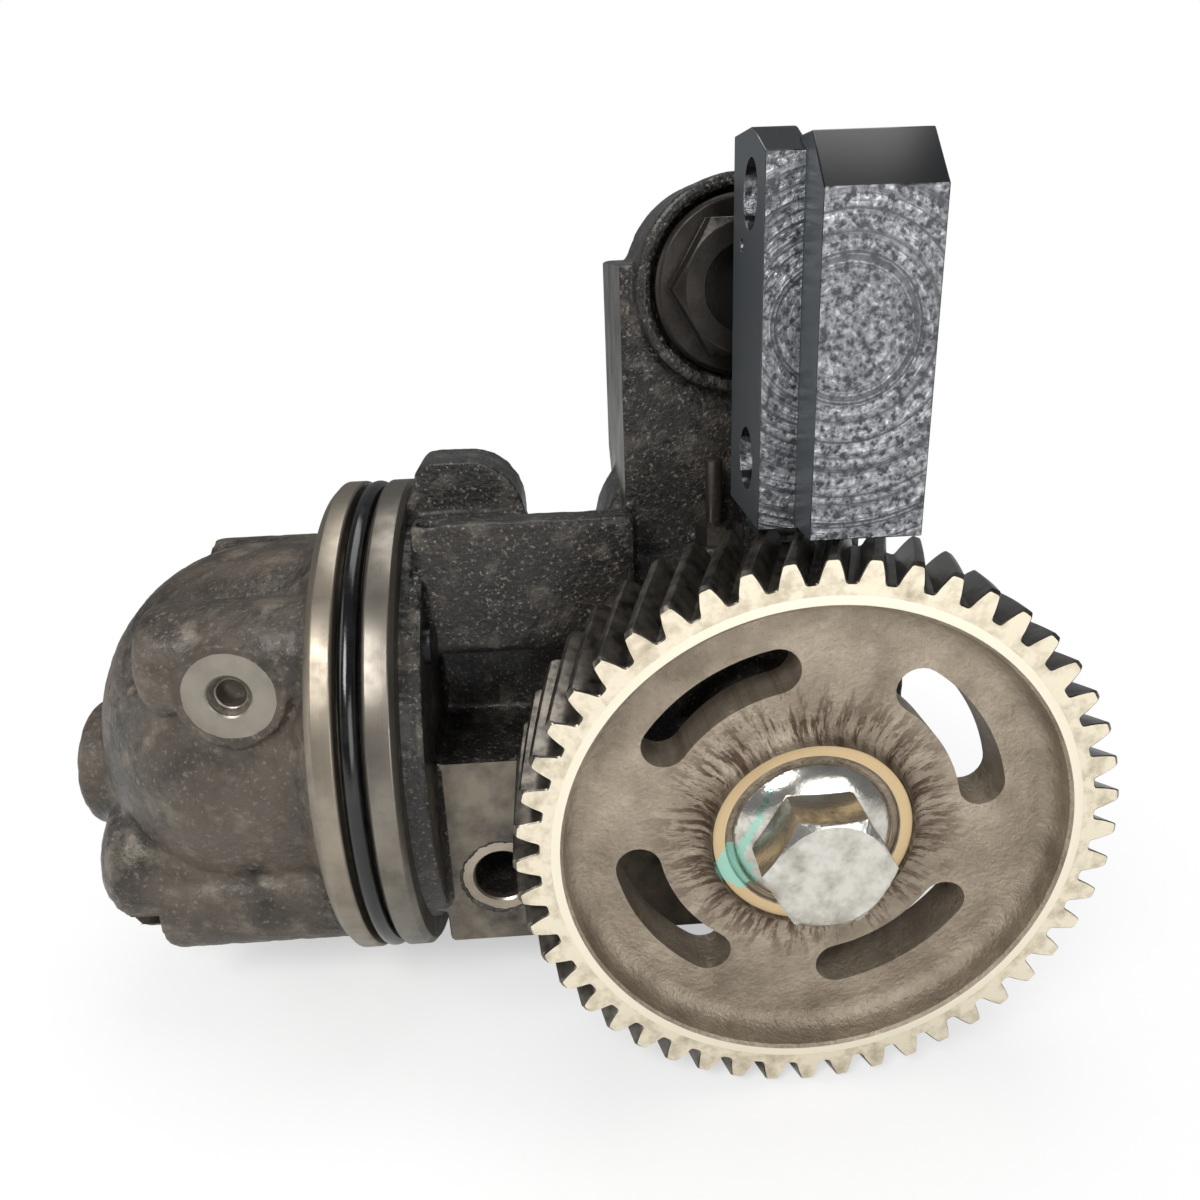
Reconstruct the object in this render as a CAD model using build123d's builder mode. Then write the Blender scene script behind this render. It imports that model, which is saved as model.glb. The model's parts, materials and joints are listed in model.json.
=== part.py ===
from build123d import *
from math import acos, atan, cos, degrees, pi, radians, sin, tan
import os

# Engine oil pump, in millimetres. X runs along the spigot's axis towards the drive gear, Y runs
# from the gear's front to the rear of the pump, and Z is up. The origin is the middle of the
# spigot's sealing land, on its axis. The shafts are parallel to Y, and their axes cross the X axis.

os.makedirs("parts", exist_ok=True)

# Fits and small clearances
running_clearance = 0.05    # shaft in a bush
sliding_clearance = 0.03    # piston in its bore
seat_clearance = 0.02       # pieces pressed or screwed into a bore
running_gap = 0.3           # turning face beside a standing face
gear_end_clearance = 0.1    # pump gear beside the pocket's floor
tooth_tip_clearance = 0.1   # pump gear tip in its pocket
bottom_gap = 0.5            # end of a shaft or screw above the bottom of its hole

# Drive gear: helical, normal module 3, 48 teeth
drive_teeth = 48
normal_module = 3.0
helix_angle = 20.0
normal_pressure_angle = 20.0
gear_x = 114.5
gear_front = -97.5
gear_face_width = 34.0
tooth_end_chamfer = 1.0
backlash = 0.12
rim_thickness = 6.27
web_front_depth = 9.5
web_thickness = 14.0
web_cove_r = 5.0
hub_ring_width = 4.0
hub_ring_gap = 1.9
hub_bevel_margin = 0.5
hub_front_recess = 6.0
hub_counterbore_depth = 1.5
hub_rear_stand = 2.0
slot_count = 4
slot_shift = 0.54
slot_width = 12.5
slot_half_span = 21.5
slot_first_angle = 33.6

# Gear bolt, M20 with a flange
bolt_flange_r = 21.4
bolt_head_height = 20.0
bolt_flange_edge = 2.2
bolt_flange_height = 6.0
bolt_across_flats = 30.0
bolt_chamfer_r = 14.4
bolt_flange_dome_r = 12.0
bolt_tip_chamfer = 1.5
bolt_relief_length = 3.0
bolt_thread_r = 8.75
bolt_length = 35.0

# Drive shaft and its keys
shaft_r = 15.0
shaft_nose_step = 1.5
shaft_chamfer = 1.5
idler_chamfer = 1.2
key_width = 6.0
key_height = 5.2
key_depth_in_shaft = 2.5
drive_key_length = 20.0
pump_key_length = 22.0
key_end_distance = 1.5
pump_key_setback = 4.0
thrust_washer_width = 7.0
thrust_washer_thickness = 4.2
thrust_washer_chamfer = 0.6

# Pump gears: spur, module 3.5, 14 teeth
pump_module = 3.5
pump_teeth = 14
pump_pressure_angle = 25.0
pocket_front = -2.0
pocket_rear = 30.0
idler_shaft_r = 12.0
bush_wall = 3.0
drive_front_bush_length = 35.0
idler_front_bush_length = 11.8

# Spigot and neck
spigot_r = 79.0
spigot_land = 9.0
oring_groove_width = 7.8
oring_groove_depth = 5.9
oring_section_r = 2.9
neck_step = 9.0
neck_length = 6.0
chamber_wall = 34.0
chamber_depth = 16.5

# Core of the housing
core_left = 8.0
core_right_wall = 40.5
core_corner_r = 16.0
core_bottom = -59.4
core_top = 58.0
core_right_top = 50.0
box_top = 75.0
box_top_rear = -28.0
core_front = -18.0
core_rear = 24.0
box_bottom = 33.0
box_corner_r = 5.0
box_cleft_r = 3.2
box_cleft_depth = 14.0
wall_front = -43.5
wall_width = 26.0
wall_overlap = 8.0
wall_drop = 6.0
wall_corner_r = 6.0
box_front = -37.5
pad_front = -52.5
pad_top = 6.0
pad_inset = 1.5
pad_corner_r = 7.0
boss_step = 7.5
boss_front = -37.0
nose_wall = 4.5
mount_hole_x = 27.9
mount_hole_z = -35.8
mount_hole_r = 8.75
mount_spotface_width = 4.95
mount_boss_wall = 1.3
spotface_depth = 0.8

# Lug
lug_left = 7.0
lug_right = 41.0
lug_front = -12.0
lug_rear = 12.0
lug_top = 88.0
lug_corner_r = 18.0
lug_thread_r = 5.1
lug_thread_depth = 18.0
lug_hole_z = 73.0

# Arm, valve barrel and ports
arm_offset = 42.0
arm_width = 35.5
arm_front = -17.5
arm_rear = 62.5
arm_top = 144.0
arm_root = 50.0
arm_heel_z = 76.0
flare_width = 9.0
flare_height = 20.0
flare_front = -10.0
flare_overlap = 4.0
valve_offset = 8.0
valve_z = 137.0
barrel_wall = 4.2
barrel_front = -24.5
barrel_rear = 20.0
barrel_tail_r = 22.0
barrel_tail_rear = 57.0
barrel_recess_gap = 1.2
barrel_recess_depth = 4.0
gallery_r = 8.0
gallery_offset = 20.5
gallery_y = 12.0
valve_chamber_r = 11.0
valve_chamber_y = 44.0
outlet_z = 108.0
outlet_r = 11.0
outlet_bolt_spacing = 48.0
outlet_bolt_r = 3.4
outlet_bolt_depth = 16.0
suction_y = 8.0
suction_seat_r = 12.0
suction_seat_depth = 20.0
suction_r = 9.0
suction_bolt_spacing = 48.0
feed_y = 9.0
feed_z = 38.0
feed_r = 5.0

# Relief valve
plug_thread_r = 16.0
plug_flange_width = 8.6
plug_flange_chamfer = 1.2
plug_flange_thickness = 4.0
plug_across_flats = 36.0
plug_front = -35.5
plug_recess_r = 12.0
plug_recess_depth = 6.0
plug_bore_wall = 5.5
plug_chamfer_margin = 0.5
spring_pocket_depth = 1.0
seal_margin = 1.0
seal_thickness = 1.5
piston_step = 2.0
piston_chamfer = 0.8
piston_length = 24.0
piston_floor = 6.0
piston_travel = 10.0
valve_seat_y = 34.0
spring_side_gap = 1.4
spring_wire_r = 1.6
spring_turns = 6
drain_r = 3.5
drain_setback = 3.0

# End cover
cover_flange = 8.3
cover_rim_chamfer = 2.5
dome_step = 19.0
dome_root_step = 3.0
dome_root_length = 6.0
flange_face_width = 10.0
dome_shoulder = -50.0
dome_middle = (-80.0, 50.0)
dome_end = -98.0
dome_tip_r = 26.0
cover_lobe_r = 17.0
cover_lobe_inset = 3.5
cover_lobes = ((-47, -78.0), (43.5, -70.0), (-145, -78.0), (145, -78.0))    # angle from -Y, end along X
cover_lobe_rounding = 6.0
nose_y = -12.0
nose_z = -8.0
nose_boss_r = 21.0
nose_end = -106.5
nose_rounding = 4.0
sump_y = -28.0
sump_z = -34.0
sump_r = 24.0
sump_end = -99.0
sump_rounding = 11.0
cover_wall = 12.0
cover_hollow_shoulder = -52.0
cover_screw_r = 6.0
cover_screw_head_r = 9.0
cover_screw_head = 12.0
cover_screw_grip = 18.0
port_x = -43.2
port_z = 34.6
port_drop = 0.5
port_depth = 9.0
port_boss_wall = 1.3
port_spotface_r = 14.8
port_counterbore_r = 6.15
port_counterbore_depth = 2.0
port_hole_r = 4.25

# Rear cover
gasket_thickness = 0.5
rear_cover_thickness = 12.0
rear_lobe_wall = 12.4
rear_boss_wall = 6.0
rear_boss_rounding = 3.0
rear_bush_cap = 4.0
rear_boss_height = 14.0
rear_screw_margin = 6.9
rear_screw_angles = (-65, 0, 65)
rear_screw_r = 4.0
rear_screw_head_r = 6.5
rear_screw_head = 8.0
rear_screw_depth = 14.0
dowel_r = 3.0
dowel_angle = 32.0
dowel_length = 20.0

# Mounting block and its ear
block_offset = 4.2
block_width = 27.0
block_front = -91.5
block_rear = -42.0
block_bottom = 81.5
block_top = 170.5
block_slant_z = 158.5
block_slant_y = -80.5
plate_thickness = 9.3
plate_joint = 1.2
plate_front = -77.0
plate_rear = -40.5
plate_bottom = 80.5
plate_front_top = 167.0
plate_top = 173.5
plate_slant_y = -61.9
plate_corner_r = 9.0
plate_hole_y = -61.0
plate_hole_z = 127.3
plate_hole_spacing = 63.4
plate_hole_r = 8.0
plate_hole_depth = 24.0
pin_hole_y = -51.5
pin_hole_z = 147.7
pin_hole_r = 1.5
pin_hole_depth = 8.0
foot_bottom = 64.0
foot_top = 101.0
ear_front = -15.0
ear_rear = 10.0
ear_margin = 3.7
ear_overlap = 6.0
ear_rise = 4.0
ear_corner_r = 8.0
foot_overlap = 4.0
block_screw_r = 5.0
block_screw_head_r = 8.0
block_screw_head = 10.0
block_screw_spacing = 20.0
block_screw_depth = 20.0
block_screw_gap = 0.5

# Bleed screw
bleed_offset = 15.5
bleed_y = -24.0
bleed_base = 62.0
bleed_r = 2.5
bleed_hex_r = 5.0
bleed_height = 26.0
bleed_hex_height = 6.0
bleed_thread = 9.0
bleed_hole_depth = 10.0
bleed_boss_wall = 2.0
bleed_tip_chamfer = 0.6

small_overlap = 1.0         # one added solid reaching into the next

# Places worked out from the sizes above
transverse_module = normal_module / cos(radians(helix_angle))
drive_pitch_r = transverse_module * drive_teeth / 2
drive_tip_r = drive_pitch_r + normal_module
drive_root_r = drive_pitch_r - 1.25 * normal_module
rim_inner_r = drive_root_r - rim_thickness
hub_counterbore_r = bolt_flange_r + hub_ring_gap
hub_outer_r = hub_counterbore_r + hub_ring_width
slot_centre_r = (rim_inner_r + hub_outer_r) / 2 + slot_shift
drive_pressure_angle = degrees(atan(tan(radians(normal_pressure_angle)) / cos(radians(helix_angle))))
gear_rear = gear_front + gear_face_width
gear_twist = degrees(gear_face_width * tan(radians(helix_angle)) / drive_pitch_r)
hub_front = gear_front + hub_front_recess
bolt_seat = hub_front + hub_counterbore_depth
hub_rear = gear_rear + hub_rear_stand
web_front = gear_front + web_front_depth
web_rear = web_front + web_thickness
shaft_nose_r = shaft_r - shaft_nose_step
thrust_washer_r = shaft_r + thrust_washer_width
nose_front = hub_rear + thrust_washer_thickness + running_gap

pump_pitch_r = pump_module * pump_teeth / 2
pump_tip_r = pump_pitch_r + pump_module
pump_root_r = pump_pitch_r - 1.25 * pump_module
pocket_r = pump_tip_r + tooth_tip_clearance
rear_lobe_r = pocket_r + rear_lobe_wall
rear_screw_ring_r = pocket_r + rear_screw_margin
idler_x = gear_x - 2 * pump_pitch_r
gasket_rear = pocket_rear + gasket_thickness
pump_gear_front = pocket_front + gear_end_clearance
pump_gear_rear = gasket_rear - gear_end_clearance
bush_r = shaft_r + bush_wall
idler_bush_r = idler_shaft_r + bush_wall
nose_r = bush_r + nose_wall
boss_r = nose_r + boss_step
rear_boss_r = bush_r + rear_boss_wall
rear_cover_rear = gasket_rear + rear_cover_thickness
rear_boss_rear = rear_cover_rear + rear_boss_height
rear_bush_end = rear_boss_rear - rear_bush_cap
key_top = shaft_r - key_depth_in_shaft + key_height

oring_groove_r = spigot_r - oring_groove_depth
neck_r = spigot_r - neck_step
chamber_r = spigot_r - chamber_wall
dome_r = spigot_r - dome_step
cover_lobe_centre_r = spigot_r - cover_lobe_r - cover_lobe_inset
port_face = -(dome_r - port_drop)
land_left = -spigot_land / 2
land_right = spigot_land / 2
groove_left = land_left - oring_groove_width
cover_face = groove_left
flange_left = cover_face - cover_flange
neck_right = land_right + neck_length
chamber_bottom = cover_face + chamber_depth

core_right = gear_x + core_right_wall
arm_left = gear_x - arm_offset
arm_right = arm_left + arm_width
outlet_x = (arm_left + arm_right) / 2
suction_x = (idler_x + gear_x) / 2
gallery_x = gear_x - gallery_offset
valve_x = gear_x - valve_offset
bleed_x = gear_x - bleed_offset
block_left = gear_x - block_offset
block_right = block_left + block_width
plate_left = block_left - plate_thickness
ear_right = block_right + ear_margin
mount_spotface_r = mount_hole_r + mount_spotface_width
mount_boss_r = mount_spotface_r + mount_boss_wall

piston_r = plug_thread_r - piston_step
plug_bore_r = plug_thread_r - plug_bore_wall
plug_flange_r = plug_thread_r + plug_flange_width
barrel_recess_r = plug_flange_r + barrel_recess_gap
barrel_r = barrel_recess_r + barrel_wall
spring_mean_r = plug_bore_r - spring_side_gap - spring_wire_r
plug_seat = barrel_front + barrel_recess_depth
piston_rear = valve_seat_y - seat_clearance
piston_front = piston_rear - piston_length
plug_shank_end = piston_front - piston_travel - bottom_gap


def front_plane(y, x=0.0, z=0.0):
    """Plane at depth y whose local x is +X and local y is +Z, facing the front (-Y)."""
    return Plane(origin=(x, y, z), x_dir=(1, 0, 0), z_dir=(0, -1, 0))


def side_plane(x, y=0.0, z=0.0):
    """Plane at x whose local x is +Y and local y is +Z, facing +X."""
    return Plane(origin=(x, y, z), x_dir=(0, 1, 0), z_dir=(1, 0, 0))


def axial_plane(x, z=0.0):
    """Plane through an axis parallel to Y: local x is the radius and local y runs along +Y."""
    return Plane(origin=(x, 0, z), x_dir=(1, 0, 0), z_dir=(0, 0, 1))


def y_axis_at(x, z=0.0):
    """Axis parallel to Y through x, z."""
    return Axis((x, 0, z), (0, 1, 0))


def ring_profile(r_in, r_out, start, end):
    """Rectangle from one radius to another, for a revolve about the local y axis."""
    with Locations(((r_in + r_out) / 2, (start + end) / 2)):
        Rectangle(r_out - r_in, end - start)


def drill(x, z, r, start, end, mode=Mode.SUBTRACT):
    """Round hole, or with Mode.ADD a round boss, along Y from start to the larger end."""
    with BuildSketch(front_plane(end, x, z)) as section:
        Circle(r)
    extrude(section.sketch, amount=end - start, mode=mode)


def drill_x(y, z, r, start, end, mode=Mode.SUBTRACT):
    """Round hole, or with Mode.ADD a round boss, along X from start to the larger end."""
    with BuildSketch(side_plane(start, y, z)) as section:
        Circle(r)
    extrude(section.sketch, amount=end - start, mode=mode)


def involute(angle):
    """Involute function of an angle in radians."""
    return tan(angle) - angle


def tooth_outline(teeth, pitch_r, tip_r, root_r, pressure_angle, turn=0.0):
    """Closed outline of an involute gear. Each flank is an arc through three involute points."""
    base_r = pitch_r * cos(radians(pressure_angle))
    half_at_pitch = (pi * pitch_r / teeth - backlash) / 2 / pitch_r
    start_r = max(root_r, base_r)
    radii = (start_r, (start_r + tip_r) / 2, tip_r)

    def half_angle(r):
        return half_at_pitch + involute(radians(pressure_angle)) - involute(acos(base_r / r))

    def point(r, angle):
        return (r * cos(angle), r * sin(angle))

    pitch = 2 * pi / teeth
    with BuildLine() as outline:
        for tooth in range(teeth):
            centre = radians(turn) + tooth * pitch
            rise = [point(r, centre - half_angle(r)) for r in radii]
            fall = [point(r, centre + half_angle(r)) for r in reversed(radii)]
            foot_angle = half_angle(start_r)
            if root_r < base_r:
                Line(point(root_r, centre - foot_angle), rise[0])
            ThreePointArc(*rise)
            Line(rise[2], fall[0])
            ThreePointArc(*fall)
            if root_r < base_r:
                Line(fall[2], point(root_r, centre + foot_angle))
            Line(point(root_r, centre + foot_angle), point(root_r, centre + pitch - foot_angle))
    make_face(outline.edges())


def key_block(bottom, top, clearance=0.0, mode=Mode.ADD):
    """Rectangle of a key or its keyway, seen along the shaft, on the top of the shaft."""
    with Locations((0, (bottom + top) / 2)):
        Rectangle(key_width + 2 * clearance, top - bottom, mode=mode)


def finish(builder, name):
    """Label a finished piece and write its file."""
    builder.part.label = name
    export_step(builder.part, f"parts/{name}.step")


# Drive gear
with BuildPart() as drive_gear:
    for step in range(3):
        share = step / 2
        with BuildSketch(front_plane(gear_front + share * gear_face_width, gear_x)):
            tooth_outline(
                drive_teeth, drive_pitch_r, drive_tip_r, drive_root_r, drive_pressure_angle,
                turn=-share * gear_twist,
            )
    loft(ruled=True)
    with BuildSketch(axial_plane(gear_x)):
        with BuildLine():
            Polyline(
                (0, gear_front),
                (drive_tip_r - tooth_end_chamfer, gear_front),
                (drive_tip_r, gear_front + tooth_end_chamfer),
                (drive_tip_r, gear_rear - tooth_end_chamfer),
                (drive_tip_r - tooth_end_chamfer, gear_rear),
                (0, gear_rear),
                close=True,
            )
        make_face()
    revolve(axis=y_axis_at(gear_x), mode=Mode.INTERSECT)
    for outer, inner in ((gear_front, web_front), (gear_rear, web_rear)):
        with BuildSketch(axial_plane(gear_x)) as recess:
            ring_profile(hub_outer_r, rim_inner_r, min(outer, inner), max(outer, inner))
            corners = recess.vertices().group_by(Axis.Y)[-1 if outer < inner else 0]
            fillet(corners, web_cove_r)
        revolve(axis=y_axis_at(gear_x), mode=Mode.SUBTRACT)
    with BuildSketch(front_plane(hub_rear, gear_x)):
        Circle(hub_outer_r)
    extrude(amount=hub_rear - web_rear, mode=Mode.ADD)
    drill(gear_x, 0, hub_outer_r + hub_bevel_margin, gear_front, hub_front)
    drill(gear_x, 0, hub_counterbore_r, hub_front, bolt_seat)
    drill(gear_x, 0, shaft_nose_r + seat_clearance, bolt_seat, hub_rear)
    with BuildSketch(front_plane(web_rear, gear_x)):
        for index in range(slot_count):
            middle = slot_first_angle + index * 360 / slot_count
            SlotArc(
                Edge.make_circle(
                    slot_centre_r,
                    start_angle=middle - slot_half_span,
                    end_angle=middle + slot_half_span,
                ),
                slot_width,
            )
    extrude(amount=web_thickness, mode=Mode.SUBTRACT)
    with BuildSketch(front_plane(hub_rear, gear_x)):
        key_block(0, shaft_nose_r - key_depth_in_shaft + key_height, seat_clearance)
    extrude(amount=hub_rear - bolt_seat, mode=Mode.SUBTRACT)
finish(drive_gear, "drive_gear")

# Gear bolt
with BuildPart() as gear_bolt:
    head_front = bolt_seat - bolt_head_height
    flange_front = bolt_seat - bolt_flange_edge
    cone_front = bolt_seat - bolt_flange_height
    outside = bolt_across_flats / cos(radians(30)) / 2 + small_overlap
    with BuildSketch(axial_plane(gear_x)):
        with BuildLine():
            Polyline(
                (0, cone_front), (0, bolt_seat), (bolt_flange_r, bolt_seat), (bolt_flange_r, flange_front)
            )
            RadiusArc(
                (bolt_flange_r, flange_front), (bolt_across_flats / 2, cone_front), bolt_flange_dome_r
            )
            Line((bolt_across_flats / 2, cone_front), (0, cone_front))
        make_face()
    revolve(axis=y_axis_at(gear_x))
    with BuildSketch(front_plane(cone_front, gear_x)):
        RegularPolygon(bolt_across_flats / 2, 6, major_radius=False)
    extrude(amount=cone_front - head_front)
    with BuildSketch(axial_plane(gear_x)):
        with BuildLine():
            Polyline(
                (bolt_chamfer_r, head_front),
                (outside, head_front),
                (outside, head_front + (outside - bolt_chamfer_r) * tan(radians(30))),
                close=True,
            )
        make_face()
    revolve(axis=y_axis_at(gear_x), mode=Mode.SUBTRACT)
    shank_end = bolt_seat + bolt_length
    drill(gear_x, 0, bolt_thread_r - seat_clearance, bolt_seat, shank_end, Mode.ADD)
    chamfer(gear_bolt.faces().sort_by(Axis.Y)[-1].edges(), bolt_tip_chamfer)
finish(gear_bolt, "gear_bolt")

# Drive shaft: nose in the gear, journals in two bushes, seat of the pump driving gear
shaft_rear = rear_bush_end - bottom_gap
nose_tip = bolt_seat + bottom_gap
drive_key_front = nose_tip + key_end_distance
pump_key_front = pump_gear_front + pump_key_setback
with BuildPart() as drive_shaft:
    drill(gear_x, 0, shaft_nose_r, nose_tip, hub_rear, Mode.ADD)
    drill(gear_x, 0, shaft_r, hub_rear, shaft_rear, Mode.ADD)
    chamfer(drive_shaft.faces().sort_by(Axis.Y)[-1].edges(), shaft_chamfer)
    drill(gear_x, 0, bolt_thread_r, nose_tip, bolt_seat + bolt_length + bolt_relief_length)
    for seat_r, front, length in (
        (shaft_nose_r, drive_key_front, drive_key_length),
        (shaft_r, pump_key_front, pump_key_length),
    ):
        with BuildSketch(front_plane(front + length + seat_clearance, gear_x)):
            key_block(seat_r - key_depth_in_shaft, seat_r + small_overlap, seat_clearance)
        extrude(amount=length + 2 * seat_clearance, mode=Mode.SUBTRACT)
finish(drive_shaft, "drive_shaft")

# Keys of the drive gear and of the pump driving gear
with BuildPart() as drive_key:
    with BuildSketch(front_plane(drive_key_front + drive_key_length, gear_x)):
        drive_key_bottom = shaft_nose_r - key_depth_in_shaft + seat_clearance
        key_block(drive_key_bottom, drive_key_bottom + key_height - 2 * seat_clearance)
    extrude(amount=drive_key_length)
finish(drive_key, "drive_key")

with BuildPart() as pump_gear_key:
    with BuildSketch(front_plane(pump_key_front + pump_key_length, gear_x)):
        key_block(shaft_r - key_depth_in_shaft + seat_clearance, key_top - seat_clearance)
    extrude(amount=pump_key_length)
finish(pump_gear_key, "pump_gear_key")

# Thrust washer between the gear's hub and the nose of the housing
with BuildPart() as thrust_washer:
    drill(gear_x, 0, thrust_washer_r, hub_rear, hub_rear + thrust_washer_thickness, Mode.ADD)
    drill(gear_x, 0, shaft_r + seat_clearance, hub_rear, hub_rear + thrust_washer_thickness)
    washer_rims = thrust_washer.edges().filter_by(GeomType.CIRCLE).sort_by(SortBy.RADIUS)[-2:]
    chamfer(washer_rims, thrust_washer_chamfer)
finish(thrust_washer, "thrust_washer")


def bush(x, inner_r, front, rear):
    """Plain bush along Y, open to its shaft with the running clearance."""
    drill(x, 0, inner_r + bush_wall, front, rear, Mode.ADD)
    drill(x, 0, inner_r + running_clearance, front, rear)


# Bushes in the housing and in the rear cover
bush_rear = rear_bush_end - bottom_gap
with BuildPart() as drive_front_bush:
    bush(gear_x, shaft_r, nose_front, nose_front + drive_front_bush_length)
finish(drive_front_bush, "drive_front_bush")

with BuildPart() as drive_rear_bush:
    bush(gear_x, shaft_r, gasket_rear + running_gap, bush_rear)
finish(drive_rear_bush, "drive_rear_bush")

idler_bush_front = pocket_front - running_gap - idler_front_bush_length
with BuildPart() as idler_front_bush:
    bush(idler_x, idler_shaft_r, idler_bush_front, pocket_front - running_gap)
finish(idler_front_bush, "idler_front_bush")

with BuildPart() as idler_rear_bush:
    bush(idler_x, idler_shaft_r, gasket_rear + running_gap, bush_rear)
finish(idler_rear_bush, "idler_rear_bush")

idler_shaft_front = idler_bush_front + bottom_gap
with BuildPart() as idler_shaft:
    drill(idler_x, 0, idler_shaft_r, idler_shaft_front, shaft_rear, Mode.ADD)
    chamfer(idler_shaft.edges().filter_by(GeomType.CIRCLE), idler_chamfer)
finish(idler_shaft, "idler_shaft")

# Pump gears: a tooth of the driving gear points at the idler, which has a gap there
with BuildPart() as pump_driving_gear:
    with BuildSketch(front_plane(pump_gear_rear, gear_x)):
        tooth_outline(
            pump_teeth, pump_pitch_r, pump_tip_r, pump_root_r, pump_pressure_angle, turn=180.0
        )
        Circle(shaft_r + seat_clearance, mode=Mode.SUBTRACT)
        key_block(0, key_top, seat_clearance, Mode.SUBTRACT)
    extrude(amount=pump_gear_rear - pump_gear_front)
finish(pump_driving_gear, "pump_driving_gear")

with BuildPart() as idler_gear:
    with BuildSketch(front_plane(pump_gear_rear, idler_x)):
        tooth_outline(
            pump_teeth, pump_pitch_r, pump_tip_r, pump_root_r, pump_pressure_angle,
            turn=180.0 / pump_teeth,
        )
        Circle(idler_shaft_r + seat_clearance, mode=Mode.SUBTRACT)
    extrude(amount=pump_gear_rear - pump_gear_front)
finish(idler_gear, "idler_gear")

# Places shared by the housing, the covers and their screws
rear_lobes = ((idler_x, 180.0), (gear_x, 0.0))


def on_screw_ring(x, angle):
    """Place on the rear cover's ring of screws around x, at an angle from +X."""
    return (x + rear_screw_ring_r * cos(radians(angle)), rear_screw_ring_r * sin(radians(angle)))


rear_screw_spots = [
    on_screw_ring(x, facing + angle) for x, facing in rear_lobes for angle in rear_screw_angles
]
dowel_spots = [on_screw_ring(x, facing + dowel_angle) for x, facing in rear_lobes]
lobe_spots = [
    (-cover_lobe_centre_r * cos(radians(angle)), cover_lobe_centre_r * sin(radians(angle)), end)
    for angle, end in cover_lobes
]
block_screw_x = (block_left + block_right) / 2
foot_middle_z = (foot_bottom + foot_top) / 2
block_screw_spots = [
    (block_screw_x, foot_middle_z - block_screw_spacing / 2),
    (block_screw_x, foot_middle_z + block_screw_spacing / 2),
]
outlet_bolt_spots = [
    (outlet_x, outlet_z - outlet_bolt_spacing / 2),
    (outlet_x, outlet_z + outlet_bolt_spacing / 2),
]


def rear_outline(offset=0.0):
    """Outline around both pump gears, seen from the front, grown by the offset."""
    with Locations(((idler_x + gear_x) / 2, 0)):
        SlotCenterToCenter(gear_x - idler_x, 2 * (rear_lobe_r + offset))


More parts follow.
